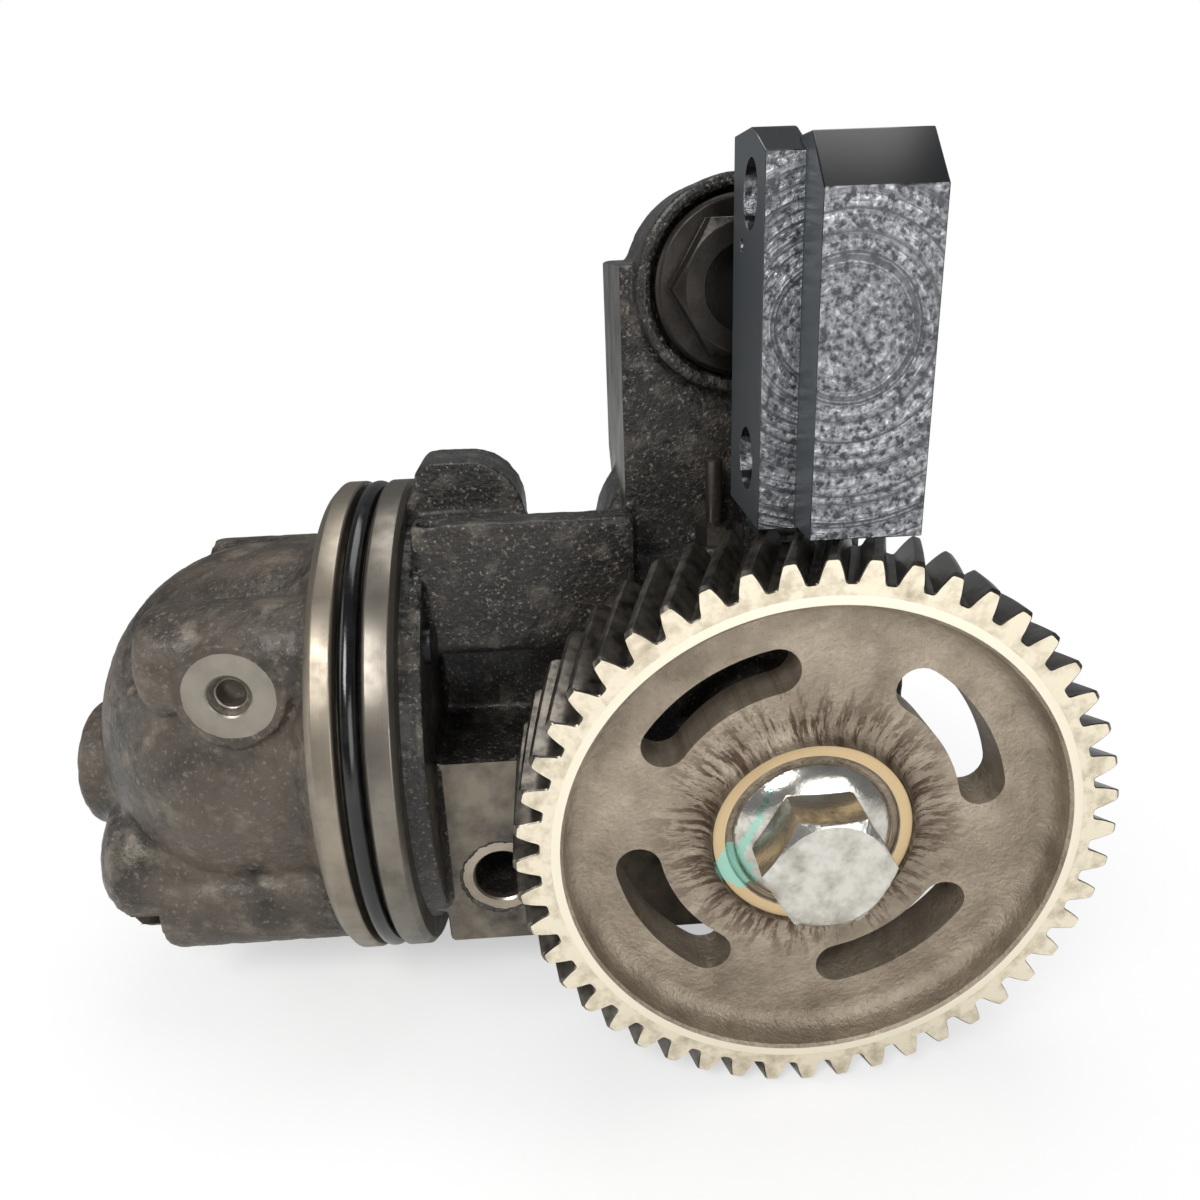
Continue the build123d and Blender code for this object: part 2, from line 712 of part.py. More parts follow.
# Housing
with BuildPart() as pump_body:
    with BuildSketch(Plane.XZ):
        with BuildLine():
            Polyline(
                (groove_left, 0),
                (groove_left, oring_groove_r),
                (land_left, oring_groove_r),
                (land_left, spigot_r),
                (land_right, spigot_r),
                (land_right, neck_r),
                (neck_right, neck_r),
                (neck_right, 0),
                close=True,
            )
        make_face()
    revolve(axis=Axis.X)

    # core, seen from the front
    with BuildSketch(front_plane(core_rear)) as core:
        with BuildLine():
            Polyline(
                (core_left, core_bottom),
                (core_right, core_bottom),
                (core_right, core_right_top),
                (arm_right, core_right_top),
                (arm_right, core_top),
                (core_left, core_top),
                close=True,
            )
        make_face()
        fillet(core.vertices().group_by(Axis.X)[-1], core_corner_r)
    extrude(amount=core_rear - core_front)

    # upper box: upright at the front, with its top falling away to the rear
    with BuildSketch(side_plane(core_left)) as box:
        with BuildLine():
            Polyline(
                (box_front, box_bottom),
                (box_front, box_top),
                (box_top_rear, box_top),
                (core_rear, core_top),
                (core_rear, box_bottom),
                close=True,
            )
        make_face()
        fillet(box.vertices().group_by(Axis.X)[0].group_by(Axis.Y)[0], box_corner_r)
    extrude(amount=arm_left + small_overlap - core_left)

    # lower pad and the right-hand wall stand forward of the core
    for left, right, bottom, top, front, corner in (
        (core_left + pad_inset, core_right, core_bottom, pad_top, pad_front, pad_corner_r),
        (
            core_right - wall_width, core_right, pad_top - wall_overlap, core_right_top - wall_drop,
            wall_front, wall_corner_r,
        ),
    ):
        with BuildSketch(front_plane(core_front + small_overlap)) as forward:
            with Locations(((left + right) / 2, (bottom + top) / 2)):
                Rectangle(right - left, top - bottom)
            fillet(forward.vertices().group_by(Axis.X)[-1], corner)
        extrude(amount=core_front + small_overlap - front)

    drill(gear_x, 0, boss_r, boss_front, core_front, Mode.ADD)
    drill(gear_x, 0, nose_r, nose_front, boss_front, Mode.ADD)
    with BuildSketch(front_plane(pocket_rear)):
        rear_outline()
    extrude(amount=pocket_rear - core_rear + small_overlap)
    drill(mount_hole_x, mount_hole_z, mount_boss_r, core_rear - small_overlap, pocket_rear, Mode.ADD)

    # arm with its long machined left face, and the valve barrel at its top
    with BuildSketch(side_plane(arm_left)):
        with BuildLine():
            Polyline(
                (arm_front, arm_root),
                (core_rear, arm_root),
                (arm_rear, arm_heel_z),
                (arm_rear, arm_top),
                (arm_front, arm_top),
                close=True,
            )
        make_face()
    extrude(amount=arm_width)
    with BuildSketch(front_plane(core_rear)):
        with BuildLine():
            Polyline(
                (arm_left - flare_width, core_top - flare_overlap),
                (arm_left + flare_overlap, core_top - flare_overlap),
                (arm_left + flare_overlap, core_top + flare_height),
                (arm_left, core_top + flare_height),
            )
            RadiusArc(
                (arm_left, core_top + flare_height),
                (arm_left - flare_width, core_top - flare_overlap),
                -2 * flare_height,
            )
        make_face()
    extrude(amount=core_rear - flare_front)
    drill(valve_x, valve_z, barrel_r, barrel_front, barrel_rear, Mode.ADD)
    drill(valve_x, valve_z, barrel_tail_r, barrel_rear, barrel_tail_rear, Mode.ADD)

    # ear that carries the mounting block
    with BuildSketch(front_plane(ear_rear)) as ear:
        with BuildLine():
            Polyline(
                (arm_right - ear_overlap, core_right_top - ear_rise),
                (ear_right, core_right_top - ear_rise),
                (ear_right, foot_top + ear_rise),
                (arm_right - ear_overlap, foot_top + ear_rise),
                close=True,
            )
        make_face()
        fillet(ear.vertices().group_by(Axis.X)[-1].sort_by(Axis.Y)[-1], ear_corner_r)
    extrude(amount=ear_rear - ear_front)

    # lug on the top, above the neck
    with BuildSketch(front_plane(lug_rear)) as lug:
        with Locations(((lug_left + lug_right) / 2, (lug_top + box_bottom) / 2)):
            Rectangle(lug_right - lug_left, lug_top - box_bottom)
        fillet(lug.vertices().group_by(Axis.Y)[-1].sort_by(Axis.X)[-1], lug_corner_r)
        fillet(lug.vertices().group_by(Axis.Y)[-1].sort_by(Axis.X)[0], lug_corner_r / 3)
    extrude(amount=lug_rear - lug_front)

    # boss of the bleed screw
    with BuildSketch(Plane.XY.offset(core_right_top - wall_overlap)):
        with Locations((bleed_x, bleed_y)):
            Circle(bleed_hex_r + bleed_boss_wall)
    extrude(amount=bleed_base - core_right_top + wall_overlap)

    # chamber, pump pocket, bearings and oil ways
    drill_x(0, 0, chamber_r, groove_left, chamber_bottom)
    drill_x(feed_y, feed_z, feed_r, chamber_bottom, gallery_x)
    for x in (idler_x, gear_x):
        drill(x, 0, pocket_r, pocket_front, pocket_rear)
    front_bush_end = nose_front + drive_front_bush_length
    drill(gear_x, 0, bush_r + seat_clearance, nose_front, front_bush_end)
    drill(gear_x, 0, shaft_r + running_gap, front_bush_end, pocket_front)
    drill(idler_x, 0, idler_bush_r + seat_clearance, idler_bush_front, pocket_front)
    for hole_r, hole_top in (
        (suction_seat_r, core_bottom + suction_seat_depth),
        (suction_r, -pocket_r / 2),
    ):
        with BuildSketch(Plane.XY.offset(core_bottom)):
            with Locations((suction_x, suction_y)):
                Circle(hole_r)
        extrude(amount=hole_top - core_bottom, mode=Mode.SUBTRACT)
    gallery_rise = Vector(valve_x - gallery_x, valve_chamber_y - gallery_y, valve_z - pocket_r / 2)
    gallery_foot = Plane(
        origin=(gallery_x, gallery_y, pocket_r / 2), x_dir=(1, 0, 0), z_dir=gallery_rise.normalized()
    )
    with BuildSketch(gallery_foot):
        Circle(gallery_r)
    extrude(amount=gallery_rise.length, mode=Mode.SUBTRACT)
    outlet_start = gallery_y + (valve_chamber_y - gallery_y) * outlet_z / valve_z
    drill(outlet_x, outlet_z, outlet_r, outlet_start, arm_rear)
    for x, z in outlet_bolt_spots:
        drill(x, z, outlet_bolt_r, arm_rear - outlet_bolt_depth, arm_rear)
    for x in (suction_x - suction_bolt_spacing / 2, suction_x + suction_bolt_spacing / 2):
        with BuildSketch(Plane.XY.offset(core_bottom)):
            with Locations((x, suction_y)):
                Circle(outlet_bolt_r)
        extrude(amount=outlet_bolt_depth, mode=Mode.SUBTRACT)

    # relief valve's bore: recess, thread, piston bore and pressure chamber
    drill(valve_x, valve_z, barrel_recess_r, barrel_front, plug_seat)
    drill(valve_x, valve_z, plug_thread_r, plug_seat, plug_shank_end + bottom_gap)
    drill(valve_x, valve_z, piston_r + sliding_clearance, plug_seat, valve_seat_y)
    drill(valve_x, valve_z, valve_chamber_r, valve_seat_y, valve_chamber_y + gallery_r)
    drain_y = valve_seat_y - drain_r - drain_setback
    drill_x(drain_y, valve_z, drain_r, valve_x, valve_x + barrel_r + small_overlap)

    # mounting hole, threads and the small hole at the box's left corner
    drill(mount_hole_x, mount_hole_z, mount_hole_r, pad_front, pocket_rear)
    drill(mount_hole_x, mount_hole_z, mount_spotface_r, pad_front, pad_front + spotface_depth)
    lug_hole_x = (lug_left + lug_right) / 2
    drill(lug_hole_x, lug_hole_z, lug_thread_r, lug_rear - lug_thread_depth, lug_rear)
    for x, z in rear_screw_spots:
        drill(x, z, rear_screw_r, pocket_rear - rear_screw_depth, pocket_rear)
    for x, z in dowel_spots:
        drill(x, z, dowel_r + seat_clearance, pocket_rear - dowel_length / 2, pocket_rear)
    for y, z, _ in lobe_spots:
        drill_x(y, z, cover_screw_r, groove_left, groove_left + cover_screw_grip)
    for x, z in block_screw_spots:
        drill(x, z, block_screw_r + block_screw_gap, ear_front, ear_rear)
    with BuildSketch(Plane.XY.offset(bleed_base)):
        with Locations((bleed_x, bleed_y)):
            Circle(bleed_r)
    extrude(amount=-bleed_hole_depth, mode=Mode.SUBTRACT)
    with BuildSketch(Plane.XY.offset(box_top)):
        with Locations((core_left + box_corner_r, box_front + box_corner_r)):
            Circle(box_cleft_r)
    extrude(amount=-box_cleft_depth, mode=Mode.SUBTRACT)
finish(pump_body, "pump_body")


def cap_screw(axis_plane, thread_r, head_r, head, grip, thread):
    """Socket-head screw: the plane lies under its head, with its normal out of the head."""
    with BuildSketch(axis_plane) as round_head:
        Circle(head_r)
    extrude(round_head.sketch, amount=head)
    with BuildSketch(axis_plane) as shank:
        Circle(thread_r - seat_clearance)
    extrude(shank.sketch, amount=-(grip + thread))
    with BuildSketch(axis_plane.offset(head)) as socket:
        RegularPolygon(0.45 * head_r, 6, major_radius=False)
    extrude(socket.sketch, amount=-head / 2, mode=Mode.SUBTRACT)


# O-ring of the spigot, seated in the groove between the housing and the end cover
with BuildPart() as spigot_o_ring:
    oring_r = oring_groove_r + oring_section_r + seat_clearance
    with BuildSketch(Plane.XZ):
        with Locations(((groove_left + land_left) / 2, oring_r)):
            Circle(oring_section_r)
    revolve(axis=Axis.X)
finish(spigot_o_ring, "spigot_o_ring")

# End cover: cast dome with four screw lobes, an end boss, a bulge below it and a tapped port
with BuildPart() as end_cover:
    with BuildSketch(Plane.XZ):
        with BuildLine():
            Polyline(
                (dome_end, 0),
                (cover_face, 0),
                (cover_face, spigot_r),
                (flange_left + cover_rim_chamfer, spigot_r),
                (flange_left, spigot_r - cover_rim_chamfer),
                (flange_left, spigot_r - flange_face_width),
                (flange_left - dome_root_length, dome_r + dome_root_step),
                (flange_left - dome_root_length - dome_root_step, dome_r),
                (dome_shoulder, dome_r),
            )
            ThreePointArc((dome_shoulder, dome_r), dome_middle, (dome_end, dome_tip_r))
            Line((dome_end, dome_tip_r), (dome_end, 0))
        make_face()
    revolve(axis=Axis.X)
    bulge_root = flange_left + small_overlap
    for y, z, r, end, rounding in [
        (nose_y, nose_z, nose_boss_r, nose_end, nose_rounding),
        (sump_y, sump_z, sump_r, sump_end, sump_rounding),
    ] + [(y, z, cover_lobe_r, end, cover_lobe_rounding) for y, z, end in lobe_spots]:
        with BuildSketch(Plane((0, y, z), x_dir=(1, 0, 0), z_dir=(0, -1, 0))) as bulge:
            with BuildLine():
                Polyline((end, 0), (bulge_root, 0), (bulge_root, r), (end, r), close=True)
            make_face()
            fillet(bulge.vertices().group_by(Axis.X)[0].sort_by(Axis.Z)[-1], rounding)
        revolve(axis=Axis((0, y, z), (1, 0, 0)))
    drill(port_x, port_z, port_spotface_r + port_boss_wall, port_face, 0, Mode.ADD)

    # hollow inside, open to the housing's chamber
    with BuildSketch(Plane.XZ):
        with BuildLine():
            Polyline(
                (cover_face, 0),
                (cover_face, chamber_r),
                (cover_hollow_shoulder, chamber_r),
                (dome_end + cover_wall, chamber_r / 2),
                (dome_end + cover_wall, 0),
                close=True,
            )
        make_face()
    revolve(axis=Axis.X, mode=Mode.SUBTRACT)
    for y, z, end in lobe_spots:
        drill_x(y, z, cover_screw_r + running_gap, end, cover_face)
        drill_x(y, z, cover_screw_head_r + running_gap, nose_end, end + cover_screw_head)
    drill(port_x, port_z, port_hole_r, port_face, port_face + port_depth)
    drill(port_x, port_z, port_spotface_r, port_face, port_face + spotface_depth)
    counterbore_end = port_face + spotface_depth + port_counterbore_depth
    drill(port_x, port_z, port_counterbore_r, port_face, counterbore_end)
finish(end_cover, "end_cover")

with BuildPart() as end_cover_screws:
    for y, z, end in lobe_spots:
        cap_screw(
            Plane(origin=(end + cover_screw_head, y, z), x_dir=(0, 1, 0), z_dir=(-1, 0, 0)),
            cover_screw_r,
            cover_screw_head_r,
            cover_screw_head,
            cover_face - end - cover_screw_head,
            cover_screw_grip - bottom_gap,
        )
finish(end_cover_screws, "end_cover_screws")

# Rear cover with its gasket, screws and dowels
with BuildPart() as rear_cover_gasket:
    with BuildSketch(front_plane(gasket_rear)):
        rear_outline()
        with Locations((idler_x, 0), (gear_x, 0)):
            Circle(pocket_r, mode=Mode.SUBTRACT)
        with Locations(*rear_screw_spots):
            Circle(rear_screw_r + running_gap, mode=Mode.SUBTRACT)
        with Locations(*dowel_spots):
            Circle(dowel_r + running_gap, mode=Mode.SUBTRACT)
    extrude(amount=gasket_thickness)
finish(rear_cover_gasket, "rear_cover_gasket")

with BuildPart() as rear_cover:
    with BuildSketch(front_plane(rear_cover_rear)):
        rear_outline()
    extrude(amount=rear_cover_thickness)
    for x in (idler_x, gear_x):
        drill(x, 0, rear_boss_r, rear_cover_rear, rear_boss_rear, Mode.ADD)
    boss_rims = rear_cover.faces().filter_by(Axis.Y).sort_by(Axis.Y)[-2:].edges()
    fillet(boss_rims, rear_boss_rounding)
    for x, bore_r in ((idler_x, idler_bush_r), (gear_x, bush_r)):
        drill(x, 0, bore_r + seat_clearance, gasket_rear, rear_bush_end)
    for x, z in rear_screw_spots:
        drill(x, z, rear_screw_r + running_gap, gasket_rear, rear_cover_rear)
    for x, z in dowel_spots:
        drill(x, z, dowel_r + seat_clearance, gasket_rear, pocket_rear + dowel_length / 2)
finish(rear_cover, "rear_cover")

with BuildPart() as rear_cover_screws:
    for x, z in rear_screw_spots:
        cap_screw(
            Plane(origin=(x, rear_cover_rear, z), x_dir=(1, 0, 0), z_dir=(0, 1, 0)),
            rear_screw_r,
            rear_screw_head_r,
            rear_screw_head,
            rear_cover_rear - pocket_rear,
            rear_screw_depth - bottom_gap,
        )
finish(rear_cover_screws, "rear_cover_screws")

with BuildPart() as rear_cover_dowels:
    for x, z in dowel_spots:
        dowel_front = pocket_rear - dowel_length / 2 + seat_clearance
        drill(x, z, dowel_r, dowel_front, dowel_front + dowel_length - 2 * seat_clearance, Mode.ADD)
finish(rear_cover_dowels, "rear_cover_dowels")

# Relief valve: hexagon plug, its seal, the spring and the cup-shaped piston
plug_flange_rear = plug_seat - seal_thickness
plug_flange_front = plug_flange_rear - plug_flange_thickness
spring_start = plug_flange_rear - spring_pocket_depth
with BuildPart() as relief_plug_seal:
    drill(valve_x, valve_z, plug_flange_r - seal_margin, plug_flange_rear, plug_seat, Mode.ADD)
    drill(valve_x, valve_z, plug_thread_r + running_gap, plug_flange_rear, plug_seat)
finish(relief_plug_seal, "relief_plug_seal")

with BuildPart() as relief_plug:
    drill(valve_x, valve_z, plug_flange_r, plug_flange_front, plug_flange_rear, Mode.ADD)
    chamfer(relief_plug.faces().sort_by(Axis.Y)[0].edges(), plug_flange_chamfer)
    with BuildSketch(front_plane(plug_flange_front, valve_x, valve_z)):
        RegularPolygon(plug_across_flats / 2, 6, major_radius=False)
    extrude(amount=plug_flange_front - plug_front)
    chamfer_start = plug_across_flats / 2 - plug_chamfer_margin
    with BuildSketch(axial_plane(valve_x, valve_z)):
        with BuildLine():
            Polyline(
                (chamfer_start, plug_front),
                (plug_flange_r, plug_front),
                (plug_flange_r, plug_front + (plug_flange_r - chamfer_start) * tan(radians(30))),
                close=True,
            )
        make_face()
    revolve(axis=y_axis_at(valve_x, valve_z), mode=Mode.SUBTRACT)
    drill(valve_x, valve_z, plug_thread_r - seat_clearance, plug_flange_rear, plug_shank_end, Mode.ADD)
    drill(valve_x, valve_z, plug_recess_r, plug_front, plug_front + plug_recess_depth)
    drill(valve_x, valve_z, plug_bore_r, spring_start, plug_shank_end)
finish(relief_plug, "relief_plug")

with BuildPart() as relief_piston:
    drill(valve_x, valve_z, piston_r, piston_front, piston_rear, Mode.ADD)
    chamfer(relief_piston.faces().sort_by(Axis.Y)[-1].edges(), piston_chamfer)
    drill(valve_x, valve_z, plug_bore_r, piston_front, piston_rear - piston_floor)
finish(relief_piston, "relief_piston")

with BuildPart() as relief_spring:
    spring_front = spring_start + spring_wire_r + seat_clearance
    spring_rear = piston_rear - piston_floor - spring_wire_r - seat_clearance
    spring_length = spring_rear - spring_front
    with BuildLine() as coil:
        Helix(
            pitch=spring_length / spring_turns,
            height=spring_length,
            radius=spring_mean_r,
            center=(valve_x, spring_front, valve_z),
            direction=(0, 1, 0),
        )
    with BuildSketch(Plane(origin=coil.line @ 0, z_dir=coil.line % 0)):
        RegularPolygon(spring_wire_r, 8)
    sweep(path=coil.line, is_frenet=True)
finish(relief_spring, "relief_spring")

# Mounting block: block, side plate and foot in one piece, with its two screws
with BuildPart() as mounting_block:
    with BuildSketch(side_plane(block_left)):
        with BuildLine():
            Polyline(
                (block_front, block_bottom),
                (block_rear, block_bottom),
                (block_rear, block_top),
                (block_slant_y, block_top),
                (block_front, block_slant_z),
                close=True,
            )
        make_face()
    extrude(amount=block_right - block_left)
    with BuildSketch(side_plane(plate_left)) as plate:
        with BuildLine():
            Polyline(
                (plate_front, plate_bottom),
                (plate_rear, plate_bottom),
                (plate_rear, plate_top),
                (plate_slant_y, plate_top),
                (plate_front, plate_front_top),
                close=True,
            )
        make_face()
        rear_corners = plate.vertices().group_by(Axis.Y)[-1].sort_by(Axis.Z)
        fillet(rear_corners[-1], plate_corner_r)
    extrude(amount=plate_thickness + plate_joint)
    with BuildSketch(side_plane(block_left + plate_joint)):
        with Locations(((block_rear - foot_overlap + ear_front) / 2, foot_middle_z)):
            Rectangle(ear_front - block_rear + foot_overlap, foot_top - foot_bottom)
    extrude(amount=block_width - plate_joint)
    for z in (plate_hole_z - plate_hole_spacing / 2, plate_hole_z + plate_hole_spacing / 2):
        drill_x(plate_hole_y, z, plate_hole_r, plate_left, plate_left + plate_hole_depth)
    drill_x(pin_hole_y, pin_hole_z, pin_hole_r, plate_left, plate_left + pin_hole_depth)
    for x, z in block_screw_spots:
        drill(x, z, block_screw_r, ear_front - block_screw_depth, ear_front)
finish(mounting_block, "mounting_block")

with BuildPart() as block_screws:
    for x, z in block_screw_spots:
        cap_screw(
            Plane(origin=(x, ear_rear, z), x_dir=(1, 0, 0), z_dir=(0, 1, 0)),
            block_screw_r,
            block_screw_head_r,
            block_screw_head,
            ear_rear - ear_front,
            block_screw_depth - bottom_gap,
        )
finish(block_screws, "block_screws")

# Bleed screw, upright in its boss beside the foot of the arm
with BuildPart() as bleed_screw:
    with BuildSketch(Plane.XY.offset(bleed_base)):
        with Locations((bleed_x, bleed_y)):
            RegularPolygon(bleed_hex_r, 6, major_radius=False)
    extrude(amount=bleed_hex_height)
    with BuildSketch(Plane.XY.offset(bleed_base + bleed_hex_height)):
        with Locations((bleed_x, bleed_y)):
            Circle(bleed_r)
    extrude(amount=bleed_height - bleed_hex_height)
    chamfer(bleed_screw.faces().sort_by(Axis.Z)[-1].edges(), bleed_tip_chamfer)
    with BuildSketch(Plane.XY.offset(bleed_base)):
        with Locations((bleed_x, bleed_y)):
            Circle(bleed_r - seat_clearance)
    extrude(amount=-bleed_thread)
finish(bleed_screw, "bleed_screw")
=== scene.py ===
import json
import logging
import math
from collections.abc import Callable, Iterator
from dataclasses import dataclass, field
from enum import Enum
from functools import cache

import bmesh
import bpy
from mathutils import Matrix, Vector, noise

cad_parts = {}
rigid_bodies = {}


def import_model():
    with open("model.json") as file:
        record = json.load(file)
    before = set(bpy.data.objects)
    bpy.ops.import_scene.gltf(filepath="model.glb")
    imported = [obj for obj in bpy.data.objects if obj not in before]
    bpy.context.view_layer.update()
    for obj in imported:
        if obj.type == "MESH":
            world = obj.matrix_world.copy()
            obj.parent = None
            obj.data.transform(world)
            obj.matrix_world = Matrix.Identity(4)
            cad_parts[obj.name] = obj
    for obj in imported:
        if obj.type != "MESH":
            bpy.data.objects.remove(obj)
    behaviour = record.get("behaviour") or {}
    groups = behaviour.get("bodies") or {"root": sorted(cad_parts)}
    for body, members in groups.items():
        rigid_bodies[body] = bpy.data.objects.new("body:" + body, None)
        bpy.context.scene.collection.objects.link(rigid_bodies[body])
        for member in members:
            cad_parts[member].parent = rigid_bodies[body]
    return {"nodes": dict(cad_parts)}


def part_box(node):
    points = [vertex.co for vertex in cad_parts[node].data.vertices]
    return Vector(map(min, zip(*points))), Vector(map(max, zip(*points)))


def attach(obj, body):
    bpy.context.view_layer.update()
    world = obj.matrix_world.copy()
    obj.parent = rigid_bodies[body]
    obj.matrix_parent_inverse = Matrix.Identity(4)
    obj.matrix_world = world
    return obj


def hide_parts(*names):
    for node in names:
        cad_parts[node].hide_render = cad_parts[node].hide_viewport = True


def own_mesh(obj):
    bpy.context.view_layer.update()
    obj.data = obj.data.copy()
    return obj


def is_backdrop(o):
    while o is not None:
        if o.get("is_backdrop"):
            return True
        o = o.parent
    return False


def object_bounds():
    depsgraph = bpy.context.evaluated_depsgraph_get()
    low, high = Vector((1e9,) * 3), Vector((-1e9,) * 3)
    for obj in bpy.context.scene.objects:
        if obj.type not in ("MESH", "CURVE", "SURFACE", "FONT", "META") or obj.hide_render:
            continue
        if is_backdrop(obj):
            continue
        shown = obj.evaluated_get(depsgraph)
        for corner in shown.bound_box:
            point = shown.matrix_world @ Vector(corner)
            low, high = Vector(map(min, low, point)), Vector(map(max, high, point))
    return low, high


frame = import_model()

MM = 0.001
Socket = bpy.types.NodeSocket
Tree = bpy.types.NodeTree
Outline = list[tuple[float, float]]
log = logging.getLogger("oil_pump")


class Body(Enum):
    """The bodies that finished pieces ride on."""

    HOUSING = "housing"
    DRIVE = "drive"


class Turned(Enum):
    """The axis that a surface was turned or ground about, which its fine lines go round."""

    ABOUT_X = (0, 1, 1)
    ABOUT_Y = (1, 0, 1)
    NONE = (0, 0, 0)


class Kind(Enum):
    """The kinds of node in use: each one's type name and its settings."""

    MIX = ("ShaderNodeMix", {"data_type": "RGBA"})
    BLEND = ("ShaderNodeMix", {"data_type": "FLOAT"})
    RANGE = ("ShaderNodeMapRange", {})
    TIMES = ("ShaderNodeMath", {"operation": "MULTIPLY"})
    TIMES_PLUS = ("ShaderNodeMath", {"operation": "MULTIPLY_ADD"})
    LESS = ("ShaderNodeMath", {"operation": "LESS_THAN"})
    MORE = ("ShaderNodeMath", {"operation": "GREATER_THAN"})
    NEAR = ("ShaderNodeMath", {"operation": "COMPARE"})
    MAXIMUM = ("ShaderNodeMath", {"operation": "MAXIMUM"})
    EITHER = ("ShaderNodeMath", {"operation": "ADD", "use_clamp": True})
    COORDINATES = ("ShaderNodeTexCoord", {})
    SPLIT = ("ShaderNodeSeparateXYZ", {})
    JOIN = ("ShaderNodeCombineXYZ", {})
    NOISE = ("ShaderNodeTexNoise", {})
    SEEDED_NOISE = ("ShaderNodeTexNoise", {"noise_dimensions": "4D"})
    MAPPING = ("ShaderNodeMapping", {})
    LENGTH = ("ShaderNodeVectorMath", {"operation": "LENGTH"})
    UNIT = ("ShaderNodeVectorMath", {"operation": "NORMALIZE"})
    SUM = ("ShaderNodeVectorMath", {"operation": "ADD"})
    BUMP = ("ShaderNodeBump", {})
    PRINCIPLED = ("ShaderNodeBsdfPrincipled", {})
    MATERIAL = ("ShaderNodeOutputMaterial", {})
    LIGHT_PATH = ("ShaderNodeLightPath", {})
    BACKGROUND = ("ShaderNodeBackground", {})
    MIX_SHADER = ("ShaderNodeMixShader", {})
    WORLD = ("ShaderNodeOutputWorld", {})
    EMISSION = ("ShaderNodeEmission", {})
    GROUP_INPUT = ("NodeGroupInput", {})
    GROUP_OUTPUT = ("NodeGroupOutput", {})
    INSTANCES = ("GeometryNodeInstanceOnPoints", {})
    REALIZE = ("GeometryNodeRealizeInstances", {})
    SET_MATERIAL = ("GeometryNodeSetMaterial", {})
    POINTS = ("GeometryNodePoints", {})
    INDEX = ("GeometryNodeInputIndex", {})
    OBJECT_INFO = ("GeometryNodeObjectInfo", {})
    MESH_POINTS = ("GeometryNodeMeshToPoints", {})
    MERGE = ("GeometryNodeMergeByDistance", {})


# ---------------------------------------------------------------- materials


def linear(hex_colour: str) -> tuple[float, float, float, float]:
    """Turn an sRGB hex colour to linear light.

    Args:
        hex_colour: six hex digits, with or without a leading #.

    Returns:
        Red, green, blue and an alpha of 1.
    """
    digits = hex_colour.lstrip("#")
    parts = [int(digits[i : i + 2], 16) / 255 for i in (0, 2, 4)]
    red, green, blue = (c / 12.92 if c <= 0.04045 else ((c + 0.055) / 1.055) ** 2.4 for c in parts)
    return (red, green, blue, 1.0)


def feed(tree: Tree, node: bpy.types.Node, inputs: dict) -> None:
    """Set a node's inputs.

    Args:
        tree: the node's tree.
        node: the node.
        inputs: socket name or index to a value, an output socket, or a node that stands for its result.
    """
    for key, value in inputs.items():
        if isinstance(value, bpy.types.Node):
            value = next(output for output in value.outputs if output.enabled)
        if isinstance(value, Socket):
            tree.links.new(value, node.inputs[key])
        else:
            node.inputs[key].default_value = value


def add_node(tree: Tree, kind: Kind, inputs: dict | None = None) -> bpy.types.Node:
    """Add one node with its settings, values and links.

    Args:
        tree: the tree that gets the node.
        kind: its type and settings.
        inputs: what feed gives it.

    Returns:
        The new node.
    """
    type_name, settings = kind.value
    node = tree.nodes.new(type_name)
    for key, value in settings.items():
        setattr(node, key, value)
    feed(tree, node, inputs or {})
    return node


def patches(tree: Tree, coords: Socket, size_mm: float, low: float, high: float, seed: float = 0.0) -> Socket:
    """Cloudy patches of a real size.

    Args:
        tree: the material's tree.
        coords: object coordinates in metres.
        size_mm: how far apart the patches are.
        low: noise level that gives 0.
        high: noise level that gives 1.
        seed: which pattern it is.

    Returns:
        A factor from 0 to 1.
    """
    cloud = add_node(
        tree,
        Kind.SEEDED_NOISE,
        {"Vector": coords, "W": seed, "Scale": 1 / (size_mm * MM), "Detail": 4.0, "Roughness": 0.6},
    )
    spread = add_node(tree, Kind.RANGE, {"Value": cloud, "From Min": low, "From Max": high})
    return spread.outputs[0]


def distance_from(tree: Tree, coords: Socket, centre_mm: tuple[float, float, float], axes: tuple) -> Socket:
    """Distance from a point or an axis, in millimetres.

    Args:
        tree: the material's tree.
        coords: object coordinates in metres.
        centre_mm: the point, or any point of the axis.
        axes: 1 for each direction that counts, 0 for one that doesn't.

    Returns:
        The distance.
    """
    scale = tuple(a / MM for a in axes)
    shift = tuple(-c * a for c, a in zip(centre_mm, axes))
    place = add_node(tree, Kind.MAPPING, {"Vector": coords, "Location": shift, "Scale": scale})
    length = add_node(tree, Kind.LENGTH, {0: place})
    return length.outputs["Value"]


def facing(tree: Tree, axis: int, sign: float) -> Socket:
    """1 where the surface looks along an axis, and 0 elsewhere.

    Args:
        tree: the material's tree.
        axis: 0, 1 or 2 for X, Y or Z.
        sign: 1 or -1.

    Returns:
        The factor.
    """
    source = add_node(tree, Kind.COORDINATES)
    parts = add_node(tree, Kind.SPLIT, {0: source.outputs["Normal"]})
    edge = add_node(
        tree, Kind.RANGE, {"Value": parts.outputs[axis], "From Min": 0.8 * sign, "From Max": 0.95 * sign}
    )
    return edge.outputs[0]


